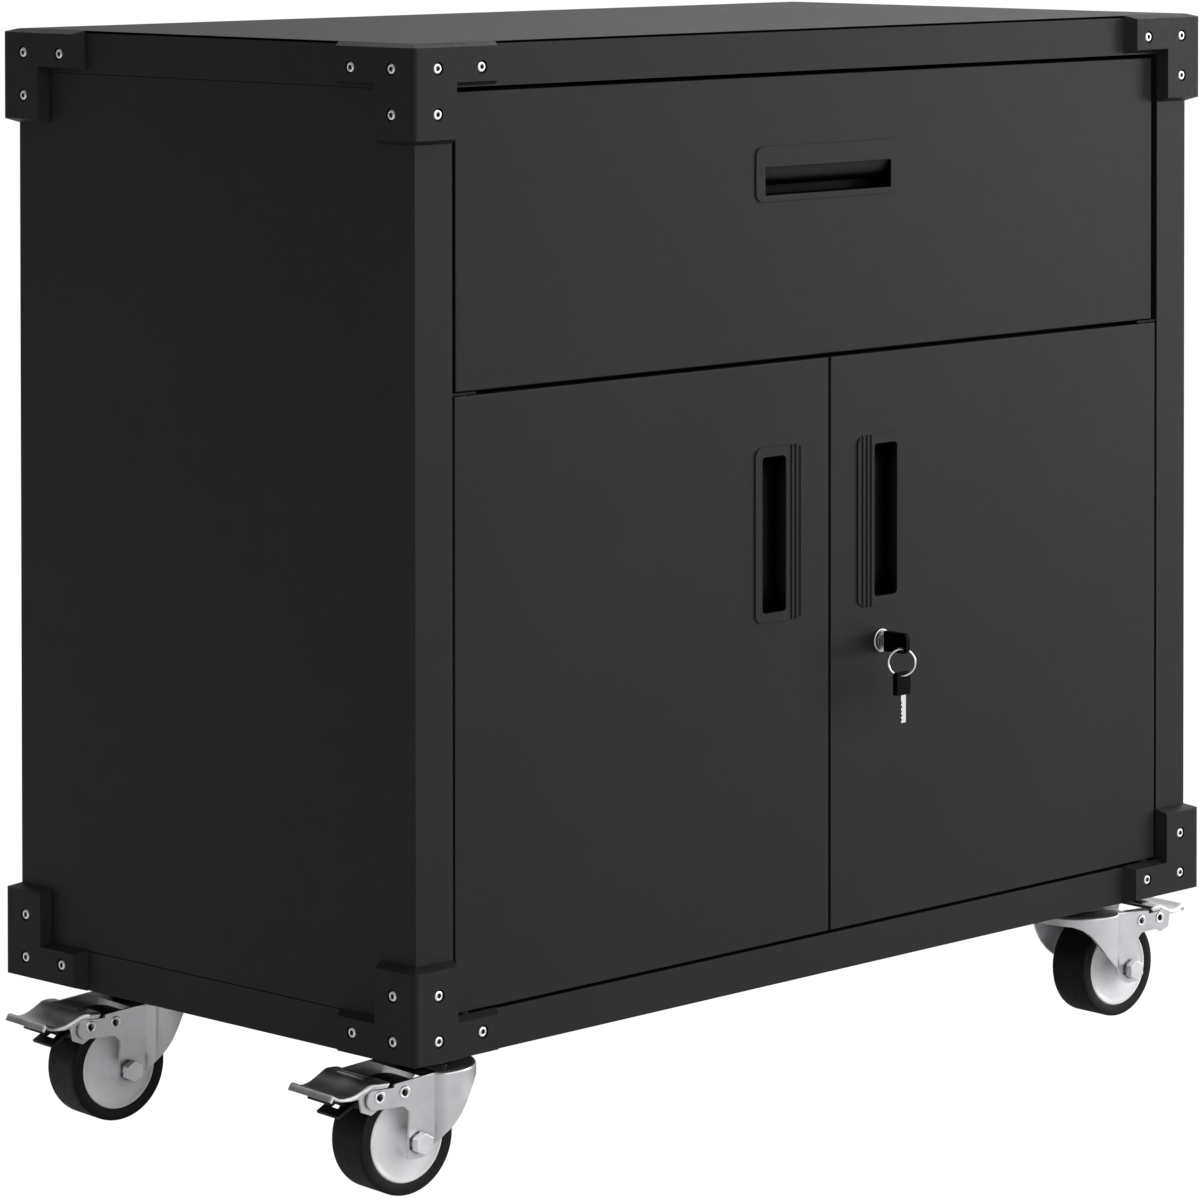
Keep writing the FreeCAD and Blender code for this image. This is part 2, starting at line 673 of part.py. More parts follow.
def cam_square():
    """The square stud on the back of the plug that the cam sits on."""
    return box(LOCK_X - STUD_HALF, LOCK_X + STUD_HALF, CAM_Y - 1, CAM_Y + 3,
               LOCK_Z - STUD_HALF, LOCK_Z + STUD_HALF)


def lock_plug():
    """The turning plug with its keyway and the stud that carries the cam."""
    plug = rod(LOCK_PLUG, (LOCK_X, FRONT - 2.3, LOCK_Z), (0, 1, 0), 25.5)
    keyway = box(LOCK_X - 1.1, LOCK_X + 1.1, FRONT - 3, FRONT + 17, LOCK_Z - 3.6, LOCK_Z + 3.6)
    return fuse(plug, cam_square()).cut(keyway)


def lock_cam():
    """The flat arm on the back of the plug. It points down while unlocked."""
    arm = box(LOCK_X - CAM_HALF, LOCK_X + CAM_HALF, CAM_Y, CAM_Y + 2, LOCK_Z - CAM_LENGTH, LOCK_Z)
    eye = rod(CAM_EYE, (LOCK_X, CAM_Y, LOCK_Z), (0, 1, 0), 2)
    return fuse(arm, eye).cut(cam_square())


def key_slot(y, z):
    """The slot through a key's head that the ring passes through."""
    return box(LOCK_X - 5, LOCK_X + 5, y - 3.4, y + 3.4, z - 1.65, z + 1.5)


def key_blade():
    """The blade in the lock, and its tang inside the head."""
    return box(LOCK_X - BLADE_HALF, LOCK_X + BLADE_HALF, FRONT - 8, FRONT + 15,
               LOCK_Z - 3.2, LOCK_Z + 3.2)


def key_head():
    head = box(LOCK_X - HEAD_THICK, LOCK_X + HEAD_THICK, HEAD_END, HEAD_START,
               LOCK_Z - HEAD_HALF, LOCK_Z + HEAD_HALF)
    ends = [e for e in head.Edges if close(e.Length, 2 * HEAD_THICK)
            and close(e.Vertexes[0].Y, HEAD_END)]
    head = head.makeFillet(3.6, ends)
    return head.cut(key_blade()).cut(key_slot(SLOT_Y, SLOT_Z))


def key_ring():
    ring = Part.makeTorus(RING_RADIUS, RING_WIRE, V(0, 0, 0), V(0, 1, 0))
    ring.rotate(V(0, 0, 0), V(0, 0, 1), -RING_TURN)
    ring.translate(V(LOCK_X, SLOT_Y, RING_Z))
    return ring


def spare_blade():
    """The spare key's blade, flat to the front, with teeth on its left edge."""
    left = LOCK_X - BLADE_LEFT
    blade = box(left, left + BLADE_WIDTH, SLOT_Y - BLADE_HALF, SLOT_Y + BLADE_HALF,
                SPARE_END, SPARE_HEAD_END + 6)
    for i in range(TEETH):
        z = SPARE_END + 2.2 + TOOTH_STEP * i
        y = SLOT_Y - 2 * BLADE_HALF
        notch = outline([(left - 0.1, y, z - 1.2), (left - 0.1, y, z + 1.2),
                         (left + 1.1 + 0.4 * (i % 2), y, z)], (0, 4 * BLADE_HALF, 0))
        blade = blade.cut(notch)
    return blade


def spare_head():
    head = box(LOCK_X - HEAD_HALF, LOCK_X + HEAD_HALF, SLOT_Y - HEAD_THICK, SLOT_Y + HEAD_THICK,
               SPARE_HEAD_END, SPARE_TOP)
    ends = [e for e in head.Edges if close(e.Length, 2 * HEAD_THICK)
            and close(e.Vertexes[0].Z, SPARE_TOP)]
    head = head.makeFillet(1.6, ends)
    slot = box(LOCK_X - 3.4, LOCK_X + 3.4, SLOT_Y - 5, SLOT_Y + 5,
               SPARE_SLOT_Z - 1.5, SPARE_SLOT_Z + 1.65)
    return head.cut(spare_blade()).cut(slot)


# ---------------------------------------------------------------- drawer
def drawer_front():
    body = pan(-DRAWER_HALF, DRAWER_HALF, DRAWER_BOTTOM, DRAWER_TOP, DRAWER_FACE,
               DRAWER_PAN, 14.0)
    return body.cut(drawer_pull_cutout())


def drawer_box():
    """The open-topped tray behind the front, with a hemmed top edge."""
    y0 = DRAWER_FACE + DRAWER_PAN
    y1 = y0 + BOX_LENGTH
    block = box(-BOX_HALF, BOX_HALF, y0, y1, BOX_BOTTOM, BOX_TOP)
    hollow = box(-BOX_HALF + SHEET, BOX_HALF - SHEET, y0 + SHEET, y1 - SHEET,
                 BOX_BOTTOM + SHEET, BOX_TOP + 1)
    body = block.cut(hollow)
    rim = box(-BOX_HALF, BOX_HALF, y0, y1, BOX_TOP - 1.5, BOX_TOP)
    clear = box(-BOX_HALF + BOX_HEM, BOX_HALF - BOX_HEM, y0 + BOX_HEM, y1 - BOX_HEM,
                BOX_TOP - 2, BOX_TOP + 1)
    return fuse(body, rim.cut(clear))


# ---------------------------------------------------------------- casters
# A caster is modelled with its swivel axis at x = 0, y = 0 and its pedal towards +X.
def fork_plan(radius, half, z0, z1, start):
    """The fork seen from above: a round dome that narrows to two flat sides."""
    disc = Part.makeCylinder(radius, z1 - z0, V(0, 0, z0))
    far = radius + 1
    rise = radius - half
    wedge = outline([(-far, -far, z0), (start - rise, -far, z0), (start, -half, z0),
                     (start, half, z0), (start - rise, far, z0), (-far, far, z0)],
                    (0, 0, z1 - z0))
    sides = box(0, EAR_END + 1, -half, half, z0, z1)
    return fuse(disc.common(wedge), sides)


def fork_silhouette():
    """The fork seen from the side, as a slab wide enough to trim it."""
    wide = DOME_RADIUS + 5
    top = [(-wide, FORK_TOP + 1), (BEND_LINE - 2, FORK_TOP + 1), (BEND_LINE, STRIP_TOP),
           (SLOT_START, STRIP_TOP - STRIP_FALL), (SLOT_START, EAR_TOP), (EAR_END - 4, EAR_TOP),
           (EAR_END, EAR_TOP - 4), (EAR_END, EAR_LOW + 4), (EAR_END - 4, EAR_LOW)]
    leg = [(ARCH_U + 7, EAR_LOW), (ARCH_U + 2, EAR_LOW - 1.4), (ARCH_U, EAR_LOW - 6),
           (ARCH_U + 2, LEG_LOW + 1.5), (ARCH_U, LEG_LOW), (TRAIL, LEG_LOW)]
    corners = [(u, -wide, z) for u, z in top + leg + list(SKIRT)]
    return outline(corners, (0, 2 * wide, 0))


def caster_fork():
    """The pressed steel fork: a domed top, two legs and two ears for the brake."""
    outer = fork_plan(DOME_RADIUS, FORK_HALF, 0, FORK_TOP, BEND_LINE)
    upright = [e for e in outer.Edges if close(e.Length, FORK_TOP)
               and close(e.Vertexes[0].X, BEND_LINE, 12) and abs(e.Vertexes[0].Y) > FORK_HALF - 1]
    outer = outer.makeFillet(FORK_BEND, upright)
    crown = [e for e in outer.Edges if close(e.BoundBox.ZMin, FORK_TOP)
             and e.BoundBox.XMin < BEND_LINE and abs(e.BoundBox.YMin) + abs(e.BoundBox.YMax) > 50]
    outer = outer.makeFillet(FORK_CROWN, crown)
    inner = fork_plan(DOME_RADIUS - FORK_SHEET, FORK_HALF - FORK_SHEET, -1,
                      FORK_TOP - FORK_SHEET, BEND_LINE + 0.8)
    shell = outer.cut(inner)
    mouth = box(TRAIL + 6, EAR_END + 5, FORK_SHEET - FORK_HALF, FORK_HALF - FORK_SHEET,
                -1, FORK_TOP + 5)
    shell = shell.cut(mouth).common(fork_silhouette())
    pin = rod(KINGPIN + RUNNING, (0, 0, FORK_TOP - 10), (0, 0, 1), 20)
    shell = shell.cut(pin).cut(through(AXLE_RADIUS, TRAIL, WHEEL_RADIUS))
    for u, z in EAR_HOLES:
        shell = shell.cut(through(RIVET_RADIUS, u, z))
    return biggest(shell)


def through(radius, u, z):
    """A rod right through a caster from side to side."""
    return rod(radius, (u, -2 * FORK_HALF, z), (0, 1, 0), 4 * FORK_HALF)


def biggest(shape):
    """The largest solid of a shape."""
    return max(shape.Solids, key=lambda s: s.Volume)


def caster_stem(x, y):
    """The threaded stem with its swaged race cap and the kingpin's head under the fork."""
    cap_low = FORK_TOP + CAP_RISE
    cap = Part.makeCylinder(DOME_RADIUS - 2, CAP_HEIGHT, V(0, 0, cap_low))
    rim = [e for e in cap.Edges if close(e.BoundBox.ZMax, cap_low)]
    cap = cap.makeFillet(CAP_ROUND, rim)
    collar_low = cap_low + CAP_HEIGHT
    collar = Part.makeCylinder(STEM_COLLAR, UNDERSIDE - collar_low, V(0, 0, collar_low))
    race = Part.makeCylinder(RACE_RADIUS, RACE_HEIGHT, V(0, 0, FORK_TOP + 0.4))
    pin_low = V(0, 0, FORK_TOP - KINGPIN_DROP)
    kingpin = Part.makeCylinder(KINGPIN, KINGPIN_DROP + 8, pin_low)
    head = Part.makeCylinder(KINGPIN_HEAD, KINGPIN_HEAD_HEIGHT, pin_low)
    thread = Part.makeCylinder(STEM_THREAD, UNDERSIDE + STEM_ENGAGED - FORK_TOP,
                               V(0, 0, FORK_TOP))
    stem = fuse(cap, collar, race, kingpin, head, thread)
    stem.translate(V(x, y, 0))
    return stem


def hexagon(radius, start, length):
    """A hexagonal head along +Y from start."""
    x, y, z = start
    points = []
    for i in range(6):
        turn = math.radians(60 * i + 30)
        points.append((x + radius * math.cos(turn), y, z + radius * math.sin(turn)))
    return outline(points, (0, length, 0))


def rivet(u, z, start, end):
    """A hollow rivet between two sides, with a flange at each end."""
    tube = rod(RIVET_RADIUS, (u, start - RIVET_RIM, z), (0, 1, 0), end - start + 2 * RIVET_RIM)
    rims = [rod(RIVET_FLANGE, (u, y, z), (0, 1, 0), RIVET_RIM) for y in (start - RIVET_RIM, end)]
    return fuse(tube, *rims).cut(through(RIVET_BORE, u, z))


def fork_fasteners(side):
    """The axle bolt and nut, two short rivets and the long hollow rivet of the pedal."""
    out = FORK_HALF
    shank = rod(AXLE_RADIUS, (TRAIL, -out - 8, WHEEL_RADIUS), (0, 1, 0), 2 * out + 8)
    washer = rod(BOLT_COLLAR, (TRAIL, out, WHEEL_RADIUS), (0, 1, 0), BOLT_WASHER)
    head = hexagon(BOLT_RADIUS, (TRAIL, out + BOLT_WASHER, WHEEL_RADIUS), BOLT_HEAD)
    nut = hexagon(BOLT_RADIUS, (TRAIL, -out - BOLT_HEAD, WHEEL_RADIUS), BOLT_HEAD)
    nut = nut.cut(through(AXLE_RADIUS, TRAIL, WHEEL_RADIUS))
    short, long = EAR_HOLES
    pieces = [fuse(shank, washer, head), nut, rivet(*short, -out, FORK_SHEET - out),
              rivet(*short, out - FORK_SHEET, out), rivet(*long, -out, out)]
    if side < 0:
        pieces = [mirror_y(p) for p in pieces]
    return pieces


def wheel_ring(profile):
    """A solid of revolution about the axle. The profile is radius and offset pairs."""
    points = [V(0, w, r) for r, w in profile]
    face = Part.Face(Part.makePolygon(points + points[:1]))
    ring = face.revolve(V(0, 0, 0), V(0, 1, 0), 360)
    ring.translate(V(TRAIL, 0, WHEEL_RADIUS))
    return ring


def wheel_hub():
    """The plastic wheel centre: a rim, a dished web and a long boss round the axle."""
    rim = WHEEL_WIDTH / 2 - HUB_RECESS
    bore = AXLE_RADIUS + RUNNING
    boss = FORK_HALF - FORK_SHEET - 0.4
    half = [(bore, boss), (BOSS_RADIUS, boss), (BOSS_RADIUS + 1, rim - 1.0),
            (HUB_RADIUS - 2.4, rim - 1.0), (HUB_RADIUS - 1.6, rim), (HUB_RADIUS, rim)]
    profile = half + [(r, -w) for r, w in reversed(half)]
    return wheel_ring(profile)


def tyre():
    """The solid tyre on the hub, with rounded shoulders."""
    half_width = WHEEL_WIDTH / 2
    rim = half_width - HUB_RECESS
    half = [(HUB_RADIUS, rim), (HUB_RADIUS + 0.8, half_width)]
    steps = 6
    for step in range(steps + 1):
        turn = math.radians(90 * step / steps)
        half.append((WHEEL_RADIUS - SHOULDER + SHOULDER * math.sin(turn),
                     half_width - SHOULDER + SHOULDER * math.cos(turn)))
    profile = half + [(r, -w) for r, w in reversed(half)]
    return wheel_ring(profile)


def brake_pedal():
    """The pressed pedal: a sloping plate with a lip at its tip and two side cheeks."""
    top = [(SLOT_START + 3, PEDAL_Z), (PIVOT[0] + 1, PEDAL_Z + 0.3), (PIVOT[0] + 7, PEDAL_Z - 1.3),
           (PIVOT[0] + 13, PEDAL_Z - 4.2), (PIVOT[0] + 19, PEDAL_Z - 6.5),
           (PEDAL_TIP - 8, PEDAL_Z - 6.7), (PEDAL_TIP - 4, PEDAL_Z - 3.5)]
    under = [(u, z - PEDAL_SHEET) for u, z in reversed(top[:-1])]
    lip = [(PEDAL_TIP, PEDAL_Z - 7.6), (PEDAL_TIP - 1.6, PEDAL_Z - 8.6),
           (PEDAL_TIP - 4.6, PEDAL_Z - 5.6)]
    plate = outline([(u, -FORK_HALF, z) for u, z in top + lip + under], (0, 2 * FORK_HALF, 0))
    wide = FORK_HALF - 0.2
    narrow = PEDAL_HALF
    plan = [(SLOT_START + 2, wide), (PIVOT[0] - 0.5, wide), (PIVOT[0] + 3, narrow),
            (PIVOT[0] + 15, narrow - 0.6), (PEDAL_TIP - 6, PEDAL_LIP), (PEDAL_TIP + 1, PEDAL_LIP)]
    around = plan + [(u, -w) for u, w in reversed(plan)]
    plate = plate.common(outline([(u, w, 60) for u, w in around], (0, 0, 30)))
    cheek_points = [(PIVOT[0] - 7, PEDAL_Z - 1), (PIVOT[0] - 6, EAR_LOW + 2),
                    (PIVOT[0] + 4.5, EAR_LOW - 3.2), (PIVOT[0] + 12, EAR_LOW),
                    (PIVOT[0] + 14, PEDAL_Z - 5.2), (PIVOT[0] + 7, PEDAL_Z - 1.8)]
    cheeks = []
    for y in (-PEDAL_HALF, PEDAL_HALF - PEDAL_SHEET):
        cheeks.append(outline([(u, y, z) for u, z in cheek_points], (0, PEDAL_SHEET, 0)))
    return fuse(plate, *cheeks).cut(through(RIVET_RADIUS + RUNNING, *PIVOT))


def brake_shoe():
    """The bent plate under the pedal: a shoe that bears on the tyre and a release tab."""
    u, z = PIVOT
    shoe = [(u + 3.6, z - 1.5), (u + 5.4, z - 1.5), (u + 5.4, z - 4.6), (u + 20.4, z - 12.8),
            (u + 19.5, z - 14.5), (u + 3.9, z - 6.2), (u + 2.0, z - 11.0), (u + 0.5, z - 10.9),
            (u + 3.4, z - 5.0)]
    plate = outline([(a, -SHOE_HALF, b) for a, b in shoe], (0, 2 * SHOE_HALF, 0))
    arm = outline([(a, -SHOE_HALF, b) for a, b in ((u + 3.6, z - 1.5), (u + 27.5, z - 2.4),
                                                  (u + 27.5, z - 4.0), (u + 3.6, z - 3.2))],
                  (0, 2 * SHOE_HALF, 0))
    window = box(u + 9.5, u + 14.5, -5.0, 5.0, z - 20, z - 4.5)
    return fuse(plate.cut(window), arm)


def at_caster(shape, place):
    x, y, heading = place
    placed = shape.copy()
    placed.rotate(V(0, 0, 0), V(0, 0, 1), heading)
    placed.translate(V(x, y, 0))
    return placed


# ---------------------------------------------------------------- build
os.makedirs("parts", exist_ok=True)

save("top_panel", top_panel())
save("bottom_panel", bottom_panel())
left_side = side_panel().cut(panel_screw_holes())
save("left_side_panel", left_side)
save("right_side_panel", mirror_x(left_side))
save("back_panel", back_panel().cut(panel_screw_holes()))
save("panel_screws", *panel_screws())
save("divider_rail", divider_rail())
save("shelf", shelf())
save("shelf_clips", *shelf_clips())
save("corner_guards", *at_corners([corner_guard()]))
save("guard_screws", *at_corners(corner_screws()))
save("slide_brackets", slide_bracket(-1), slide_bracket(1))
save("door_hinge_pins", *hinge_pins())
save("magnetic_catches", *magnetic_catches())

SLIDES = (("slide_outer_members", 0.0, SLIDE_HEIGHT, 1.2, 9.0),
          ("slide_middle_members", 2.2, SLIDE_HEIGHT - 5, 1.2, 8.4),
          ("slide_inner_members", 4.4, SLIDE_HEIGHT - 10, 1.2, SLIDE_PACK + 0.3 - 4.4))
for node, inset, height, sheet, deep in SLIDES:
    members = [slide_member(side, inset, height, sheet, SLIDE_FRONT + 2,
                            SLIDE_FRONT + BOX_LENGTH - 2, deep) for side in (-1, 1)]
    save(node, *members)

save("drawer_front", drawer_front())
save("drawer_box", drawer_box())
save("drawer_pull", drawer_pull())

for name in ("left", "right"):
    pieces = [door_skin(), door_liner(), door_pull()]
    if name == "right":
        pieces = [mirror_x(piece) for piece in pieces]
        pieces[0] = pieces[0].cut(lock_hole())
        pieces[1] = pieces[1].cut(lock_hole())
    for piece, what in zip(pieces, ("skin", "liner", "pull")):
        save(name + "_door_" + what, piece)

save("lock_housing", lock_housing())
save("lock_nut", lock_nut())
save("lock_plug", lock_plug())
save("lock_cam", lock_cam())
save("key_blade", key_blade())
save("key_head", key_head())
save("key_ring", key_ring())
save("spare_key_blade", spare_blade())
save("spare_key_head", spare_head())

save("caster_stems", *[caster_stem(x, y) for x, y, _ in CASTERS.values()])
for name, place in CASTERS.items():
    bolt_side = 1 if name.endswith("left") else -1
    save(name + "_fork", at_caster(caster_fork(), place))
    save(name + "_fork_fasteners", *[at_caster(p, place) for p in fork_fasteners(bolt_side)])
    save(name + "_wheel_hub", at_caster(wheel_hub(), place))
    save(name + "_tyre", at_caster(tyre(), place))
    save(name + "_brake_pedal", at_caster(brake_pedal(), place))
    save(name + "_brake_shoe", at_caster(brake_shoe(), place))
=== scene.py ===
import json
import math

import bmesh
import bpy
from mathutils import Matrix, Vector


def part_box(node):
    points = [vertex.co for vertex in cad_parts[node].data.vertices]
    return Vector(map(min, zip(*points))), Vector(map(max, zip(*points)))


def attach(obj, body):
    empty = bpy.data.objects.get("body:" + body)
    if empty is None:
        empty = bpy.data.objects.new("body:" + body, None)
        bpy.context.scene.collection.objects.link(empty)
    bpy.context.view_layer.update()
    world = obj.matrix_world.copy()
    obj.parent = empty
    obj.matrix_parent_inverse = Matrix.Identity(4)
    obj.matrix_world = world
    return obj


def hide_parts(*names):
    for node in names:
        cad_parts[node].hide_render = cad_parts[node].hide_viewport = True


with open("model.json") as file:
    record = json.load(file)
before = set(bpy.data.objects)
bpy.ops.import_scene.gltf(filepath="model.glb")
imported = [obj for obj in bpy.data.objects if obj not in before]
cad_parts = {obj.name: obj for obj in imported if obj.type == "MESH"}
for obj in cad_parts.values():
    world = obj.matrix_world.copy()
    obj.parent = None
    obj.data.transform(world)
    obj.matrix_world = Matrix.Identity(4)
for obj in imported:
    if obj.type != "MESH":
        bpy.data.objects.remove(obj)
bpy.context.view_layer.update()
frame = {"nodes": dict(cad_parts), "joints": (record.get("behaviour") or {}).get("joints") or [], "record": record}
NODES = frame["nodes"]
MM = 0.001
CASTERS = ("front_left", "front_right", "rear_left", "rear_right")
JOINTS = {joint["name"]: joint for joint in frame["joints"]}
SLOTS = {entry["node"]: entry["material_slot"] for entry in frame["record"]["subparts"]}
BODY_OF = {node: body for body, nodes in frame["record"]["behaviour"]["bodies"].items()
           for node in nodes}


# ---------------------------------------------------------------- material helpers
class Graph:
    """The node tree of a material or a world, with short calls for adding and joining nodes."""

    def __init__(self, owner):
        owner.use_nodes = True
        self.owner = owner
        self.nodes = owner.node_tree.nodes
        self.links = owner.node_tree.links
        self.bsdf = self.nodes.get("Principled BSDF")

    def add(self, kind, **values):
        node = self.nodes.new(kind)
        for key, value in values.items():
            setattr(node, key, value)
        return node

    def link(self, source, target):
        self.links.new(source, target)

    def place(self):
        """Object coordinates, in metres."""
        return self.add("ShaderNodeTexCoord").outputs["Object"]

    def noise(self, scale, detail=3.0, roughness=0.5, vector=None):
        node = self.add("ShaderNodeTexNoise")
        node.inputs["Scale"].default_value = scale
        node.inputs["Detail"].default_value = detail
        node.inputs["Roughness"].default_value = roughness
        self.link(vector or self.place(), node.inputs["Vector"])
        return node.outputs["Fac"]

    def spread(self, source, low, high, from_low=0.3, from_high=0.7, way="LINEAR"):
        """Maps a value onto low..high. The range it comes from suits a noise."""
        node = self.add("ShaderNodeMapRange", interpolation_type=way)
        node.inputs["From Min"].default_value = from_low
        node.inputs["From Max"].default_value = from_high
        node.inputs["To Min"].default_value = low
        node.inputs["To Max"].default_value = high
        self.link(source, node.inputs["Value"])
        return node.outputs["Result"]

    def calculate(self, operation, *sources):
        node = self.add("ShaderNodeMath", operation=operation)
        for source, target in zip(sources, node.inputs):
            self.link(source, target)
        return node.outputs[0]

    def mix(self, factor, a, b):
        """A colour between a and b."""
        node = self.add("ShaderNodeMix", data_type="RGBA")
        for socket, value in (("A", a), ("B", b)):
            target = next(s for s in node.inputs if s.name == socket and s.type == "RGBA")
            if isinstance(value, tuple):
                target.default_value = value
            else:
                self.link(value, target)
        self.link(factor, node.inputs["Factor"])
        return next(s for s in node.outputs if s.type == "RGBA")

    def bump(self, height, strength, distance):
        node = self.add("ShaderNodeBump")
        node.inputs["Strength"].default_value = strength
        node.inputs["Distance"].default_value = distance
        self.link(height, node.inputs["Height"])
        self.link(node.outputs["Normal"], self.bsdf.inputs["Normal"])

    def edge_highlight_mask(self, radius):
        """Near 0 on flat faces and higher where a bevelled normal departs from the face's own."""
        bevel = self.add("ShaderNodeBevel")
        bevel.samples = 4
        bevel.inputs["Radius"].default_value = radius
        geometry = self.add("ShaderNodeNewGeometry")
        dot = self.add("ShaderNodeVectorMath", operation="DOT_PRODUCT")
        self.link(bevel.outputs["Normal"], dot.inputs[0])
        self.link(geometry.outputs["Normal"], dot.inputs[1])
        return self.spread(dot.outputs["Value"], 1.0, 0.0, 0.75, 0.995)

    def openness(self, distance, samples, **values):
        """Ambient occlusion: 1 in the open and near 0 deep in a hollow."""
        node = self.add("ShaderNodeAmbientOcclusion", samples=samples, **values)
        node.inputs["Distance"].default_value = distance
        return node.outputs["AO"]

    def overlay(self, share, shader):
        """Shows another shader in place of the material's own where the share is 1."""
        both = self.add("ShaderNodeMixShader")
        self.link(share, both.inputs["Fac"])
        self.link(self.bsdf.outputs[0], both.inputs[1])
        self.link(shader.outputs[0], both.inputs[2])
        self.link(both.outputs[0], self.nodes["Material Output"].inputs["Surface"])


def new_material(name):
    return Graph(bpy.data.materials.new(name))


def grey(value):
    """A grey with a very slight blue cast."""
    return (value, value, value * 1.02, 1.0)


COAT_SHADE = 0.0090
COAT_ROUGH = 0.48
COAT_SHINE = 0.22
# Painted shade: where the seam runs round the top panel, a near-black line is painted in place of its shadow.
SEAM_SHADE_INSET = 0.0013  # the top's seam, in from the panel's edge, in metres
SEAM_SHADE_DEPTH = 0.0016  # how far down from the top the painted seam shade reaches
SEAM_SHADE_BLUR = 0.0002


def coat_graph(name, shade, rough):
    g = new_material(name)
    cloud = g.noise(7.0, 4.0, 0.6)
    body = g.mix(g.spread(cloud, 0.0, 1.0), grey(shade * 0.88), grey(shade * 1.12))
    # Painted highlight: the coat's colour is lightened along its edges.
    highlighted = g.mix(g.edge_highlight_mask(0.0012), body, grey(shade * 2.2))
    g.link(highlighted, g.bsdf.inputs["Base Color"])
    g.link(g.spread(g.noise(90.0), rough - 0.02, rough + 0.03), g.bsdf.inputs["Roughness"])
    g.bsdf.inputs["Specular IOR Level"].default_value = COAT_SHINE
    g.bump(g.noise(1400.0, 2.0), 0.12, 0.0003)
    return g


def powder_coat(name, shade=COAT_SHADE, rough=COAT_ROUGH):
    """Satin powder coat: fine orange peel, faint cloudiness, and a painted highlight that lightens its edges."""
    return coat_graph(name, shade, rough).owner


def seam_shaded_coat(name):
    """The frame's coat with painted shade: a dark line that stands in for the shadow in the seam round the top
    panel's edge.
    """
    g = coat_graph(name, COAT_SHADE, COAT_ROUGH)
    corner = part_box("top_panel")[1]
    split = g.add("ShaderNodeSeparateXYZ")
    g.link(g.place(), split.inputs[0])

    def beyond(value, limit):
        return g.spread(value, 0.0, 1.0, limit - SEAM_SHADE_BLUR, limit + SEAM_SHADE_BLUR)

    edges = [beyond(g.calculate("ABSOLUTE", split.outputs[axis]), half - SEAM_SHADE_INSET)
             for axis, half in (("X", corner.x), ("Y", corner.y))]
    high = beyond(split.outputs["Z"], corner.z - SEAM_SHADE_DEPTH)
    # Painted shade: near-black diffuse over the seam's band, standing in for the shadow in the gap.
    dark = g.add("ShaderNodeBsdfDiffuse")
    dark.inputs["Color"].default_value = grey(0.001)
    g.overlay(g.calculate("MULTIPLY", g.calculate("MAXIMUM", *edges), high), dark)
    return g.owner


def moulded_plastic(name, shade, rough, grain=2600.0, strength=0.15, shine=COAT_SHINE):
    """Moulded plastic with a fine matt grain and slight clouding."""
    g = new_material(name)
    body = g.mix(g.spread(g.noise(20.0, 4.0), 0.0, 1.0), grey(shade * 0.85), grey(shade * 1.15))
    g.link(body, g.bsdf.inputs["Base Color"])
    g.link(g.spread(g.noise(240.0), rough - 0.05, rough + 0.07), g.bsdf.inputs["Roughness"])
    g.bsdf.inputs["Specular IOR Level"].default_value = shine
    g.bump(g.noise(grain, 2.0), strength, 0.0003)
    return g.owner


def cup_shaded_plastic(name):
    """The pulls' plastic, with painted shade that turns it nearly black inside the cup."""
    g = new_material(name)
    face = g.mix(g.spread(g.noise(20.0, 4.0), 0.0, 1.0),
                 grey(COAT_SHADE * 0.88), grey(COAT_SHADE * 1.12))
    # Painted shade: ambient occlusion darkens the colour to near black and dulls the shine deep in the cup.
    unshaded = g.spread(g.openness(0.018, 8, only_local=True), 0.0, 1.0, 0.55, 0.92, "SMOOTHSTEP")
    g.link(g.mix(unshaded, grey(0.0006), face), g.bsdf.inputs["Base Color"])
    shine = g.spread(unshaded, 0.04, COAT_SHINE, 0.0, 1.0)
    g.link(shine, g.bsdf.inputs["Specular IOR Level"])
    rough = g.spread(g.noise(240.0), COAT_ROUGH - 0.04, COAT_ROUGH + 0.05)
    g.link(rough, g.bsdf.inputs["Roughness"])
    g.bump(g.noise(1800.0, 2.0), 0.10, 0.0003)
    return g.owner


def plated_metal(name, shade, rough):
    """Metal plate with a faint directional grain and cloudy roughness, and painted shade that darkens it in
    hollows and where parts meet.
    """
    g = new_material(name)
    mapping = g.add("ShaderNodeMapping")
    mapping.inputs["Scale"].default_value = (60.0, 60.0, 400.0)
    g.link(g.place(), mapping.inputs["Vector"])
    streak = g.noise(1.0, 3.0, 0.6, mapping.outputs["Vector"])
    cloud = g.noise(55.0, 4.0, 0.6)
    body = g.mix(g.spread(cloud, 0.0, 1.0), grey(shade * 0.93), grey(min(1.0, shade * 1.06)))
    # Painted shade: ambient occlusion darkens the colour in hollows and between parts.
    unshaded = g.spread(g.openness(0.022, 6), 0.0, 1.0, 0.15, 0.75)
    g.link(g.mix(unshaded, grey(shade * 0.06), body), g.bsdf.inputs["Base Color"])
    g.bsdf.inputs["Metallic"].default_value = 1.0
    total = g.calculate("ADD", g.spread(streak, -0.03, 0.03),
                        g.spread(cloud, rough - 0.04, rough + 0.06))
    g.link(total, g.bsdf.inputs["Roughness"])
    g.bump(cloud, 0.05, 0.0001)
    return g.owner


def tyre_material():
    g = new_material("tyre_polyurethane")
    body = g.mix(g.spread(g.noise(60.0, 4.0), 0.0, 1.0), grey(0.004), grey(0.008))
    g.link(body, g.bsdf.inputs["Base Color"])
    g.link(g.spread(g.noise(180.0), 0.40, 0.55), g.bsdf.inputs["Roughness"])
    g.bsdf.inputs["Specular IOR Level"].default_value = 0.2
    g.bump(g.noise(1500.0, 2.0), 0.12, 0.0003)
    return g.owner


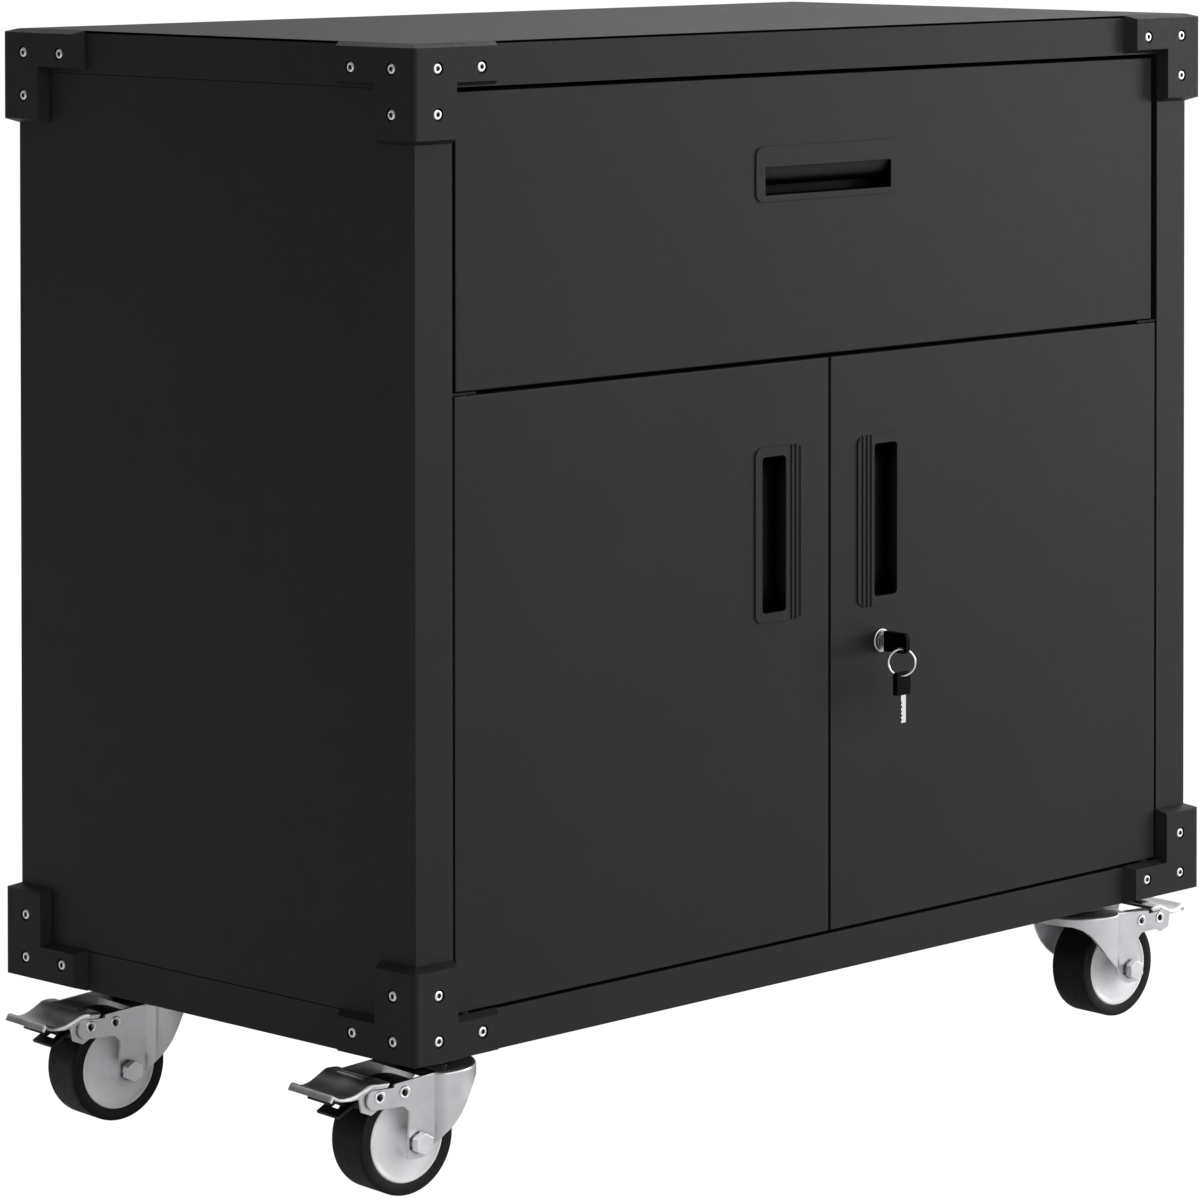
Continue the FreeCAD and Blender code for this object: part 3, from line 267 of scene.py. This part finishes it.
MATERIALS = {
    "black_powder_coat": powder_coat("frame_powder_coat"),
    "door_powder_coat": powder_coat("door_powder_coat_paint"),
    "black_moulding": moulded_plastic("guard_plastic", 0.0088, 0.50),
    "pull_plastic": cup_shaded_plastic("pull_black_plastic"),
    "catch_plastic": moulded_plastic("catch_black_plastic", 0.010, 0.45),
    "black_screw": plated_metal("black_plate", 0.05, 0.40),
    "bright_screw": plated_metal("bright_zinc_plate", 0.95, 0.30),
    "zinc_steel": plated_metal("satin_zinc_plate", 0.72, 0.32),
    "black_steel": powder_coat("black_brake_plate", 0.012, 0.42),
    "lock_chrome": plated_metal("satin_chrome", 0.66, 0.30),
    "key_steel": plated_metal("nickel_plate", 0.97, 0.24),
    "key_plastic": moulded_plastic("key_head_plastic", 0.0010, 0.40, 2600.0, 0.10, 0.05),
    "hub_plastic": moulded_plastic("hub_polypropylene", 0.90, 0.36, 1800.0, 0.06, 0.5),
    "tyre_rubber": tyre_material(),
}


# ---------------------------------------------------------------- mesh helpers
def loft(rings, caps=True):
    """A skin through rings of equal length; the caps close its two ends."""
    bm = bmesh.new()
    rows = [[bm.verts.new(point) for point in ring] for ring in rings]
    count = len(rows[0])
    for low, high in zip(rows, rows[1:]):
        for i in range(count):
            j = (i + 1) % count
            bm.faces.new((low[i], low[j], high[j], high[i]))
    if caps:
        bm.faces.new(rows[0])
        bm.faces.new(rows[-1])
    else:
        for i in range(count):
            j = (i + 1) % count
            bm.faces.new((rows[-1][i], rows[-1][j], rows[0][j], rows[0][i]))
    bmesh.ops.recalc_face_normals(bm, faces=bm.faces)
    return bm


def turned(profile, steps):
    """A closed ring turned about the w axis. The profile is radius and offset pairs."""
    rings = []
    for step in range(steps):
        turn = 2 * math.pi * step / steps
        rings.append([(radius * math.cos(turn), offset, radius * math.sin(turn))
                      for radius, offset in profile])
    return loft(rings, caps=False)


def rounded(corners, steps=6):
    """An outline from corners (x, y, radius), with each corner turned on an arc."""
    points = []
    for i, (x, y, radius) in enumerate(corners):
        here = Vector((x, y))
        if radius == 0:
            points.append(here)
            continue
        before = (Vector(corners[i - 1][:2]) - here).normalized()
        after = (Vector(corners[(i + 1) % len(corners)][:2]) - here).normalized()
        half = before.angle(after) / 2
        centre = here + (before + after).normalized() * (radius / math.sin(half))
        start = here + before * (radius / math.tan(half)) - centre
        end = here + after * (radius / math.tan(half)) - centre
        sweep = math.atan2(start.cross(end), start.dot(end))
        for step in range(steps + 1):
            points.append(centre + Matrix.Rotation(sweep * step / steps, 2) @ start)
    return points


def slab(points, w0, w1):
    """An outline in the u-z plane made solid from w0 to w1."""
    return loft([[(u, w, z) for u, z in points] for w in (w0, w1)])


def block(low, high):
    """A box between two corners, each (u, w, z)."""
    (u0, w0, z0), (u1, w1, z1) = low, high
    return slab([(u0, z0), (u1, z0), (u1, z1), (u0, z1)], w0, w1)


def add_object(name, bm):
    """Puts a shape in the scene as an object."""
    mesh = bpy.data.meshes.new(name)
    bm.to_mesh(mesh)
    bm.free()
    made = bpy.data.objects.new(name, mesh)
    bpy.context.scene.collection.objects.link(made)
    return made


def settle(obj):
    """Bakes an object's modifiers into its mesh."""
    evaluated = obj.evaluated_get(bpy.context.evaluated_depsgraph_get())
    mesh = bpy.data.meshes.new_from_object(evaluated)
    obj.modifiers.clear()
    obj.data = mesh


def combine(obj, bm, operation):
    """Cuts a shape from an object, joins it on, or keeps what they share."""
    tool = add_object("tool", bm)
    boolean = obj.modifiers.new("boolean", "BOOLEAN")
    boolean.object = tool
    boolean.operation = operation
    boolean.solver = "EXACT"
    settle(obj)
    bpy.data.objects.remove(tool)


def soften(obj, width, angle=32.0, segments=2):
    """Smooth shading, with every edge sharper than the angle rounded off."""
    bm = bmesh.new()
    bm.from_mesh(obj.data)
    bmesh.ops.remove_doubles(bm, verts=bm.verts, dist=width * 0.02)
    bmesh.ops.dissolve_limit(bm, angle_limit=math.radians(0.4), verts=bm.verts, edges=bm.edges)
    for face in bm.faces:
        face.smooth = True
    bm.to_mesh(obj.data)
    bm.free()
    bevel = obj.modifiers.new("rounding", "BEVEL")
    bevel.width = width
    bevel.segments = segments
    bevel.limit_method = "ANGLE"
    bevel.angle_limit = math.radians(angle)
    bevel.use_clamp_overlap = True
    settle(obj)
    normals = obj.modifiers.new("normals", "WEIGHTED_NORMAL")
    normals.weight = 60
    normals.keep_sharp = True


def present(obj, node):
    """Gives a piece the body of a CAD node and the material of its slot, and stands it in for the node."""
    obj.data.materials.append(MATERIALS[SLOTS[node]])
    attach(obj, BODY_OF[node])
    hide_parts(node)


def refined(node, width):
    """A CAD node's own shape with its edges rounded off by width metres."""
    copy = bpy.data.objects.new(node + "_finish", NODES[node].data.copy())
    copy.data.materials.clear()
    bpy.context.scene.collection.objects.link(copy)
    soften(copy, width)
    present(copy, node)


def islands(mesh):
    """The bounds of each separate solid of a mesh."""
    bm = bmesh.new()
    bm.from_mesh(mesh)
    bmesh.ops.remove_doubles(bm, verts=bm.verts, dist=1e-6)
    left = set(bm.verts)
    found = []
    while left:
        queue = [left.pop()]
        low = queue[0].co.copy()
        high = queue[0].co.copy()
        while queue:
            vert = queue.pop()
            low = Vector(map(min, low, vert.co))
            high = Vector(map(max, high, vert.co))
            for edge in vert.link_edges:
                other = edge.other_vert(vert)
                if other in left:
                    left.remove(other)
                    queue.append(other)
        found.append((low, high))
    bm.free()
    return found


# ---------------------------------------------------------------- casters
# Caster shapes are in millimetres in the caster's own space: u towards the pedal, w to the
# left of that, z up from the floor, with the swivel axis at u = 0, w = 0.
FORK_HALF = 29.6
FORK_SHEET = 2.0
FORK_TOP = 82.0
CROWN = 2.6
DOME = 35.0
BEND_U = 12.4
EAR_END = 66.2
LEG_U = 32.0
WHEEL_HALF = 16.6
HUB = 28.9
AXLE = 4.0
INNER_RIVET = (36.5, 71.8)
PEDAL_HALF = 27.0
ACROSS = 60.0  # more than the half width of anything on a caster


class Caster:
    """One caster's place: its own space, its wheel and its pedal's hinge."""

    def __init__(self, name):
        self.name = name
        swivel = Vector(JOINTS[name + "_swivel_turn"]["pos_m"])
        axle = Vector(JOINTS[name + "_wheel_spin"]["pos_m"])
        pivot = Vector(JOINTS[name + "_brake_press"]["pos_m"])
        towards = (axle - swivel).to_2d()
        self.trail = towards.length / MM
        self.radius = axle.z / MM
        self.pivot = ((pivot - swivel).to_2d().length / MM, pivot.z / MM)
        self.place = (Matrix.Translation((swivel.x, swivel.y, 0))
                      @ Matrix.Rotation(math.atan2(towards.y, towards.x), 4, "Z")
                      @ Matrix.Scale(MM, 4))

    def put(self, obj):
        """Moves an object made in the caster's space to its place in the frame."""
        obj.data.transform(self.place)
        return obj


def shifted(bm, u, z):
    bmesh.ops.translate(bm, verts=bm.verts, vec=(u, 0, z))
    return bm


def bore(radius, u, z):
    """A rod along w, right through the caster, to cut a hole with."""
    profile = [(0.01, -ACROSS), (radius, -ACROSS), (radius, ACROSS), (0.01, ACROSS)]
    return shifted(turned(profile, 24), u, z)


def fork_path(inset, front):
    """The fork seen from above: two flat sides that flare out into a round dome."""
    half = FORK_HALF - inset
    radius = DOME - inset
    start = math.radians(83)
    meet = Vector((radius * math.cos(start), radius * math.sin(start)))
    bend = Vector((BEND_U + 0.5 * inset, half))
    handles = (bend, bend + Vector((-2.2, 2.6)),
               meet + 3 * Vector((math.sin(start), -math.cos(start))), meet)
    side = [Vector((front, half)), bend]
    for step in range(1, 8):
        t = step / 8
        weights = ((1 - t) ** 3, 3 * t * (1 - t) ** 2, 3 * t * t * (1 - t), t ** 3)
        side.append(sum((w * h for w, h in zip(weights, handles)), Vector((0, 0))))
    for step in range(19):
        turn = start + (math.pi - start) * step / 18
        side.append(Vector((radius * math.cos(turn), radius * math.sin(turn))))
    return side + [Vector((p.x, -p.y)) for p in reversed(side[:-1])]


def fork_outline(caster):
    """The fork seen from the side, with its arch, its leg and the dome's lower edge."""
    pivot_u, pivot_z = caster.pivot
    top = [(-50, 90, 0), (BEND_U - 4, 90, 0), (BEND_U - 0.5, 80.9, 1.5), (44.8, 78.2, 1.2),
           (45.0, 75.9, 0.8), (EAR_END - 0.2, 76.7, 6.2), (EAR_END, pivot_z - 7.6, 6.2)]
    low = [(LEG_U + 5.2, 62.9, 4.6), (LEG_U, 58.0, 4.0), (LEG_U + 2.0, 27.0, 1.6)]
    heel = [(caster.trail - 2, 27.0, 0), (20.5, 27.4, 0), (16, 30, 0), (12, 35, 0), (7, 40.8, 0),
            (0, 46.6, 0), (-6, 52.6, 0), (-12, 60.2, 0), (-17, 66.8, 0), (-22.5, 71.8, 0),
            (-28, 74.4, 0), (-50, 75.4, 0)]
    return rounded(top + low + heel)


def make_fork(caster):
    """The pressed fork: a shell with a rounded crown, trimmed by its side outline."""
    rings = [[(p.x, p.y, 15) for p in fork_path(0, EAR_END + 2)]]
    for step in range(6):
        turn = math.pi / 2 * step / 5
        inset = CROWN * (1 - math.cos(turn))
        height = FORK_TOP - CROWN + CROWN * math.sin(turn)
        rings.append([(p.x, p.y, height) for p in fork_path(inset, EAR_END + 2)])
    fork = add_object(caster.name + "_fork_finish", loft(rings))
    inner = fork_path(FORK_SHEET, EAR_END + 8)
    combine(fork, loft([[(p.x, p.y, z) for p in inner] for z in (5, FORK_TOP - FORK_SHEET)]),
            "DIFFERENCE")
    mouth = FORK_HALF - FORK_SHEET
    combine(fork, block((caster.trail + 6, -mouth, 5), (EAR_END + 8, mouth, 95)), "DIFFERENCE")
    combine(fork, slab(fork_outline(caster), -ACROSS, ACROSS), "INTERSECT")
    for u, z in (INNER_RIVET, caster.pivot):
        combine(fork, bore(2.9, u, z), "DIFFERENCE")
    soften(fork, 0.35, 28)
    present(caster.put(fork), caster.name + "_fork")


def rivet_profile(outer, base, rise):
    """A rolled rivet head: a rounded ring round a bore."""
    bore = 1.9
    points = [(bore, base - 2.2)]
    middle = (outer + bore + 0.3) / 2
    for step in range(9):
        turn = math.pi * step / 8
        points.append((middle - (outer - middle) * math.cos(turn), base + rise * math.sin(turn)))
    points.append((outer, base - 0.4))
    points.append((bore + 1.0, base - 2.2))
    return points


def hex_ring(radius, offset, flat):
    """A ring of 48 points, hexagonal where flat is 1 and round where it is 0."""
    points = []
    for step in range(48):
        turn = 2 * math.pi * step / 48
        facet = (turn + math.pi / 6) % (math.pi / 3) - math.pi / 6
        side = math.cos(math.pi / 6) / math.cos(facet)
        reach = radius * (flat * side + 1 - flat)
        points.append((reach * math.cos(turn), offset, reach * math.sin(turn)))
    return points


def mirrored(bm):
    """The same shape on the other side of the caster."""
    bmesh.ops.scale(bm, verts=bm.verts, vec=(1, -1, 1))
    bmesh.ops.reverse_faces(bm, faces=bm.faces)
    return bm


def gathered(shapes):
    """One mesh of several shapes."""
    whole = bmesh.new()
    for shape in shapes:
        mesh = bpy.data.meshes.new("part")
        shape.to_mesh(mesh)
        shape.free()
        whole.from_mesh(mesh)
        bpy.data.meshes.remove(mesh)
    return whole


def make_fasteners(caster):
    """The axle bolt with its washer, the nut, and the rolled heads of the hollow rivets."""
    def axle_end(face):
        washer = turned([(3.0, face), (6.2, face), (6.2, face + 1.5), (3.0, face + 1.5)], 48)
        seat = face + 1.5
        head = loft([hex_ring(7.5, seat, 1), hex_ring(7.5, seat + 4.9, 1),
                     hex_ring(7.2, seat + 5.3, 0.95), hex_ring(6.8, seat + 5.4, 0.85),
                     hex_ring(2.0, seat + 5.4, 0)])
        return [shifted(shape, caster.trail, caster.radius) for shape in (washer, head)]

    def rivets(face):
        return [shifted(turned(rivet_profile(4.3, face, 0.9), 40), u, z)
                for u, z in (INNER_RIVET, caster.pivot)]

    shapes = axle_end(FORK_HALF) + rivets(FORK_HALF)
    shapes += [mirrored(shape) for shape in axle_end(FORK_HALF) + rivets(FORK_HALF)]
    piece = add_object(caster.name + "_fasteners_finish", gathered(shapes))
    soften(piece, 0.12, 40, 1)
    present(caster.put(piece), caster.name + "_fork_fasteners")


def make_wheel(caster):
    """The moulded hub with its rim and dished web, and the tyre round it."""
    hub = [(AXLE, 27.0), (7.2, 27.0), (7.6, 26.6), (7.9, 19.0), (9.0, 16.4), (12.0, 15.2),
            (18.0, 14.6), (23.5, 14.7), (26.2, 15.1), (27.0, 15.9), (27.5, 16.25), (28.2, 16.3),
            (HUB, 16.0)]
    shoulder = 1.9
    tyre = [(HUB, 15.9), (HUB + 0.35, 16.3), (HUB + 0.9, WHEEL_HALF)]
    for step in range(9):
        turn = math.pi / 2 * step / 8
        tyre.append((caster.radius - shoulder + shoulder * math.sin(turn),
                     WHEEL_HALF - shoulder + shoulder * math.cos(turn)))
    tyre.append((caster.radius, WHEEL_HALF - 5.5))
    for half, name, node in ((hub, "_hub_finish", "_wheel_hub"), (tyre, "_tyre_finish", "_tyre")):
        ring = turned(half + [(r, -w) for r, w in reversed(half)], 128)
        for face in ring.faces:
            face.smooth = True
        piece = add_object(caster.name + name, shifted(ring, caster.trail, caster.radius))
        present(caster.put(piece), caster.name + node)


PEDAL_LINE = ((47.6, 79.6, 29.3, 3.2), (48.4, 80.4, 29.4, 3.8), (52.0, 80.7, 29.4, 3.9),
              (57.0, 80.8, 29.3, 3.9), (60.0, 80.4, 28.3, 3.9), (63.0, 79.2, 27.4, 3.9),
              (66.0, 77.7, 27.2, 3.8), (69.0, 76.2, 26.9, 3.6), (72.5, 74.9, 26.3, 3.2),
              (76.0, 74.1, 25.7, 2.9), (80.0, 73.9, 24.9, 2.6), (83.0, 74.3, 24.4, 2.4),
              (85.6, 75.3, 24.1, 2.2), (87.6, 76.6, 24.0, 2.0), (88.9, 77.1, 24.0, 1.9),
              (90.0, 76.3, 24.0, 1.85), (90.9, 74.6, 24.0, 1.8), (91.9, 72.6, 24.0, 1.8))
PEDAL_SHEET = 1.8
RIB_PLACES = (51.2, 54.6, 58.0)
RIB_WIDE = 17.0


def pedal_stations():
    """The pedal's middle line, evened out: place, half width and flange depth at each step."""
    stations = []
    for first, second in zip(PEDAL_LINE, PEDAL_LINE[1:]):
        count = max(2, round((second[0] - first[0]) / 0.7))
        for step in range(count):
            t = step / count
            stations.append([a + (b - a) * t for a, b in zip(first, second)])
    stations.append(list(PEDAL_LINE[-1]))
    for _ in range(3):
        for i in range(1, len(stations) - 1):
            for k in range(4):
                stations[i][k] = (stations[i - 1][k] + 2 * stations[i][k]
                                  + stations[i + 1][k]) / 4
    return stations


def pedal_section(half, depth):
    """The pedal's cross-section: a flat top and two edges turned down on a small radius."""
    turn_in = 2.0
    outer = [(half, -depth)]
    for step in range(5):
        turn = math.pi / 2 * step / 4
        outer.append((half - turn_in + turn_in * math.cos(turn),
                      -turn_in + turn_in * math.sin(turn)))
    flat = half - turn_in
    outer += [(flat * (1 - 2 * step / 20), 0.0) for step in range(1, 20)]
    outer += [(-w, h) for w, h in reversed(outer[:6])]
    inner = []
    for w, h in reversed(outer):
        scale = (half - PEDAL_SHEET) / half
        inner.append((w * scale, h - PEDAL_SHEET if h > -turn_in + 0.01 else h))
    return outer, inner


def make_pedal(caster):
    """The pressed pedal with its ribs, rolled lip, turned-down edges and two cheeks."""
    stations = pedal_stations()
    rings = []
    for i, (u, z, half, depth) in enumerate(stations):
        before = Vector(stations[max(i - 1, 0)][:2])
        after = Vector(stations[min(i + 1, len(stations) - 1)][:2])
        along = (after - before).normalized()
        normal = Vector((-along.y, along.x))
        rib = sum(math.exp(-((u - place) / 0.7) ** 2) for place in RIB_PLACES)
        outer, inner = pedal_section(half, max(depth, PEDAL_SHEET + 0.05))
        ring = []
        for w, h in outer + inner:
            across = 1 / (1 + math.exp((abs(w) - RIB_WIDE) / 0.8))
            point = Vector((u, z)) + normal * (h + 1.1 * rib * across)
            ring.append((point.x, w, point.y))
        rings.append(ring)
    pedal = add_object(caster.name + "_pedal_finish", loft(rings))
    u, z = caster.pivot
    cheek = rounded([(u - 7, z + 6.5, 1), (u - 6, z - 5.5, 2), (u + 4.6, z - 11.4, 1.2),
                     (u + 12.2, z - 8.4, 1.2), (u + 14.4, z + 2.6, 1), (u + 8, z + 5.6, 1)])
    for low in (-PEDAL_HALF, PEDAL_HALF - PEDAL_SHEET):
        combine(pedal, slab(cheek, low, low + PEDAL_SHEET), "UNION")
    combine(pedal, bore(2.7, u, z), "DIFFERENCE")
    soften(pedal, 0.25, 40)
    present(caster.put(pedal), caster.name + "_brake_pedal")


def make_shoe(caster):
    """The brake shoe's bent plate, its window, and the plate under the pedal."""
    u, z = caster.pivot
    plate = rounded([(u + 3.6, z - 1.5, 0), (u + 5.4, z - 1.5, 0), (u + 5.4, z - 4.6, 1.0),
                     (u + 20.4, z - 12.8, 0), (u + 19.5, z - 14.5, 0), (u + 3.9, z - 6.2, 0.8),
                     (u + 2.0, z - 11.0, 0), (u + 0.5, z - 10.9, 0), (u + 3.4, z - 5.0, 0.8)], 4)
    shoe = add_object(caster.name + "_shoe_finish", slab(plate, -12.0, 12.0))
    combine(shoe, block((u + 9.5, -6.0, z - 20), (u + 14.5, 5.0, z - 4.5)), "DIFFERENCE")
    arm = rounded([(u + 3.6, z - 1.5, 0), (u + 27.5, z - 2.4, 0.7), (u + 27.5, z - 4.0, 0.7),
                   (u + 3.6, z - 3.2, 0)], 4)
    combine(shoe, slab(arm, -12.0, 12.0), "UNION")
    soften(shoe, 0.3, 40)
    present(caster.put(shoe), caster.name + "_brake_shoe")


# ---------------------------------------------------------------- screws
SCREW_RADIUS = 3.65
SCREW_HEIGHT = 1.5
SOCKET_RADIUS = 1.75


def screw_head():
    """A button head whose hexagonal socket is painted dark as shade, standing on w = 0 and facing +w."""
    rings = [hex_ring(SCREW_RADIUS - 0.05, 0.0, 0),
             hex_ring(SCREW_RADIUS, 0.15 * SCREW_HEIGHT, 0)]
    for step in range(1, 6):
        turn = math.pi / 2 * step / 5
        rings.append(hex_ring(SCREW_RADIUS * (0.64 + 0.36 * math.cos(turn)),
                              SCREW_HEIGHT * (0.15 + 0.85 * math.sin(turn)), 0))
    rings.append(hex_ring(SOCKET_RADIUS, SCREW_HEIGHT * 0.97, 1))
    rings.append(hex_ring(SOCKET_RADIUS * 0.98, SCREW_HEIGHT * 0.2, 1))
    rings.append(hex_ring(0.05, SCREW_HEIGHT * 0.12, 1))
    head = loft(rings)
    for face in head.faces:
        face.smooth = True
        middle = face.calc_center_median()
        if 0.01 < middle.y < 0.95 * SCREW_HEIGHT and middle.xz.length < SOCKET_RADIUS:
            # Painted shade: the socket's faces take the dark second material in place of the shadow inside it.
            face.material_index = 1
    return head


def make_guard_screws():
    """A socket screw in each counterbore of the guards, facing out of the frame."""
    heads = []
    for low, high in islands(NODES["guard_screws"].data):
        middle = (low + high) / 2
        size = high - low
        axis = 0 if size.x > size.y else 1
        outward = Vector((0, 0, 0))
        outward[axis] = math.copysign(1, middle[axis])
        seat = middle.copy()
        seat[axis] += outward[axis] * (size[axis] / 2 - SCREW_HEIGHT * MM)
        turn = outward.to_track_quat("Y", "Z").to_matrix().to_4x4()
        place = Matrix.Translation(seat) @ turn @ Matrix.Scale(MM, 4)
        head = screw_head()
        bmesh.ops.transform(head, matrix=place, verts=head.verts)
        heads.append(head)
    piece = add_object("guard_screws_finish", gathered(heads))
    present(piece, "guard_screws")
    # The dark metal that paints the shade inside the sockets.
    piece.data.materials.append(MATERIALS["black_screw"])


# ---------------------------------------------------------------- back sheet
BACK_NOTCH = 13.5  # from the sheet's side edge to its tongues
BACK_LAP = 12.0  # how far the tongues reach past the sheet


def make_back_panel():
    """The back sheet, with a tongue behind each tray's rim that closes the slot to it."""
    low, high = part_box("back_panel")
    tongue = high.x - BACK_NOTCH * MM
    lap = BACK_LAP * MM
    right = [(tongue, low.z - lap), (tongue, low.z), (high.x, low.z),
             (high.x, high.z), (tongue, high.z), (tongue, high.z + lap)]
    left = [(-x, z) for x, z in reversed(right)]
    sheet = add_object("back_panel_finish", slab(right + left, low.y, high.y))
    present(sheet, "back_panel")


# ---------------------------------------------------------------- build
for node, slot in SLOTS.items():
    NODES[node].data.materials.clear()
    NODES[node].data.materials.append(MATERIALS[slot])

NODES["top_panel"].data.materials[0] = seam_shaded_coat("top_panel_coat")
NODES["divider_rail"].data.materials[0] = powder_coat("rail_coat", 0.0012, 0.65)

for caster_name in CASTERS:
    this = Caster(caster_name)
    make_fork(this)
    make_fasteners(this)
    make_wheel(this)
    make_pedal(this)
    make_shoe(this)
make_guard_screws()
make_back_panel()
refined("corner_guards", 0.0005)
refined("caster_stems", 0.0003)
for node in ("left_door_pull", "right_door_pull", "drawer_pull"):
    refined(node, 0.0003)
for node in ("key_head", "spare_key_head", "key_blade", "spare_key_blade", "lock_housing",
             "lock_plug"):
    refined(node, 0.0002)


# ---------------------------------------------------------------- stage
FLOOR_HALF = 30.0
FLOOR_WHITE = 0.97  # how much of the floor the camera sees as plain white
FLOOR_BOUNCE = 0.14
PAPER_WHITE = 1.04
WORLD_BASE = 0.05
LOBES = (  # direction, the cosines where its light starts and is full, strength
    ((0.80, -0.60, 0.0), -0.10, 0.60, 1.36),
    ((0.62, 0.78, 0.0), 0.30, 0.95, 0.20),
    ((-0.55, -0.80, 0.20), 0.55, 0.95, 0.15),
    ((0.0, 0.0, 1.0), 0.25, 0.75, 0.43),
)
CAMERA_PLACE = Vector((-2.6743, -2.6584, 0.8867))
CAMERA_TURN = math.radians(-46.636)
CAMERA_TILT = math.radians(1.28)
LENS = 157.47
SHIFT = (-0.1326, -0.5415)


def make_floor():
    """A pale floor, white to the camera."""
    mesh = bpy.data.meshes.new("floor")
    corners = [(x * FLOOR_HALF, y * FLOOR_HALF, 0) for x, y in ((-1, -1), (1, -1), (1, 1), (-1, 1))]
    mesh.from_pydata(corners, [], [(0, 1, 2, 3)])
    floor = bpy.data.objects.new("floor", mesh)
    bpy.context.scene.collection.objects.link(floor)
    g = new_material("pale_floor")
    g.bsdf.inputs["Roughness"].default_value = 0.9
    g.bsdf.inputs["Specular IOR Level"].default_value = 0.1
    g.link(g.mix(g.noise(0.8), grey(0.52), grey(0.58)), g.bsdf.inputs["Base Color"])
    g.bsdf.inputs["Emission Color"].default_value = (1, 1, 1, 1)
    g.bsdf.inputs["Emission Strength"].default_value = FLOOR_BOUNCE
    glow = g.add("ShaderNodeEmission")
    glow.inputs["Strength"].default_value = PAPER_WHITE
    seen = g.add("ShaderNodeLightPath").outputs["Is Camera Ray"]
    g.overlay(g.spread(seen, 0.0, FLOOR_WHITE, 0.0, 1.0), glow)
    mesh.materials.append(g.owner)


def area_light(name, place, aim, size, power):
    data = bpy.data.lights.new(name, "AREA")
    data.shape = "RECTANGLE"
    data.size, data.size_y = size
    data.energy = power
    lamp = bpy.data.objects.new(name, data)
    bpy.context.scene.collection.objects.link(lamp)
    lamp.location = place
    lamp.rotation_euler = (Vector(aim) - Vector(place)).to_track_quat("-Z", "Y").to_euler()


def make_world():
    """White to the camera. To the object, a studio with a wide soft light on each lobe's side."""
    world = bpy.data.worlds.new("studio")
    bpy.context.scene.world = world
    g = Graph(world)
    towards = g.add("ShaderNodeTexCoord").outputs["Generated"]
    base = g.add("ShaderNodeValue")
    base.outputs[0].default_value = WORLD_BASE
    total = base.outputs[0]
    for side, start, full, strength in LOBES:
        dot = g.add("ShaderNodeVectorMath", operation="DOT_PRODUCT")
        dot.inputs[1].default_value = side
        g.link(towards, dot.inputs[0])
        lobe = g.spread(dot.outputs["Value"], 0.0, strength, start, full, "SMOOTHSTEP")
        total = g.calculate("ADD", total, lobe)
    choose = g.add("ShaderNodeMix")
    g.link(g.add("ShaderNodeLightPath").outputs["Is Camera Ray"], choose.inputs["Factor"])
    g.link(total, choose.inputs[2])
    choose.inputs[3].default_value = PAPER_WHITE
    background = g.nodes["Background"]
    g.link(choose.outputs[0], background.inputs["Strength"])
    background.inputs["Color"].default_value = (1, 1, 1, 1)


def make_camera():
    """The view camera. Its lens shift holds only at its own place, and is 0 anywhere else."""
    data = bpy.data.cameras.new("camera")
    camera = bpy.data.objects.new("camera", data)
    bpy.context.scene.collection.objects.link(camera)
    bpy.context.scene.camera = camera
    data.lens = LENS
    data.sensor_width = 36.0
    data.clip_end = 100.0
    camera.location = CAMERA_PLACE
    camera.rotation_euler = (math.pi / 2 - CAMERA_TILT, 0.0, CAMERA_TURN)
    for path, amount in zip(("shift_x", "shift_y"), SHIFT):
        driver = data.driver_add(path).driver
        driver.type = "SCRIPTED"
        variable = driver.variables.new()
        variable.name = "x"
        variable.type = "TRANSFORMS"
        variable.targets[0].id = camera
        variable.targets[0].transform_type = "LOC_X"
        variable.targets[0].transform_space = "WORLD_SPACE"
        driver.expression = f"{amount} if abs(x - {CAMERA_PLACE.x:.4f}) < 0.001 else 0.0"


make_floor()
make_world()
area_light("key_front_right", (6.2, -2.8, 1.1), (0, 0, 0.35), (1.4, 1.9), 84.0)
area_light("top_soft", (0.6, 0.6, 3.4), (0, 0, 0.4), (2.4, 2.4), 14.0)
make_camera()
bpy.context.scene.view_settings.view_transform = "Standard"
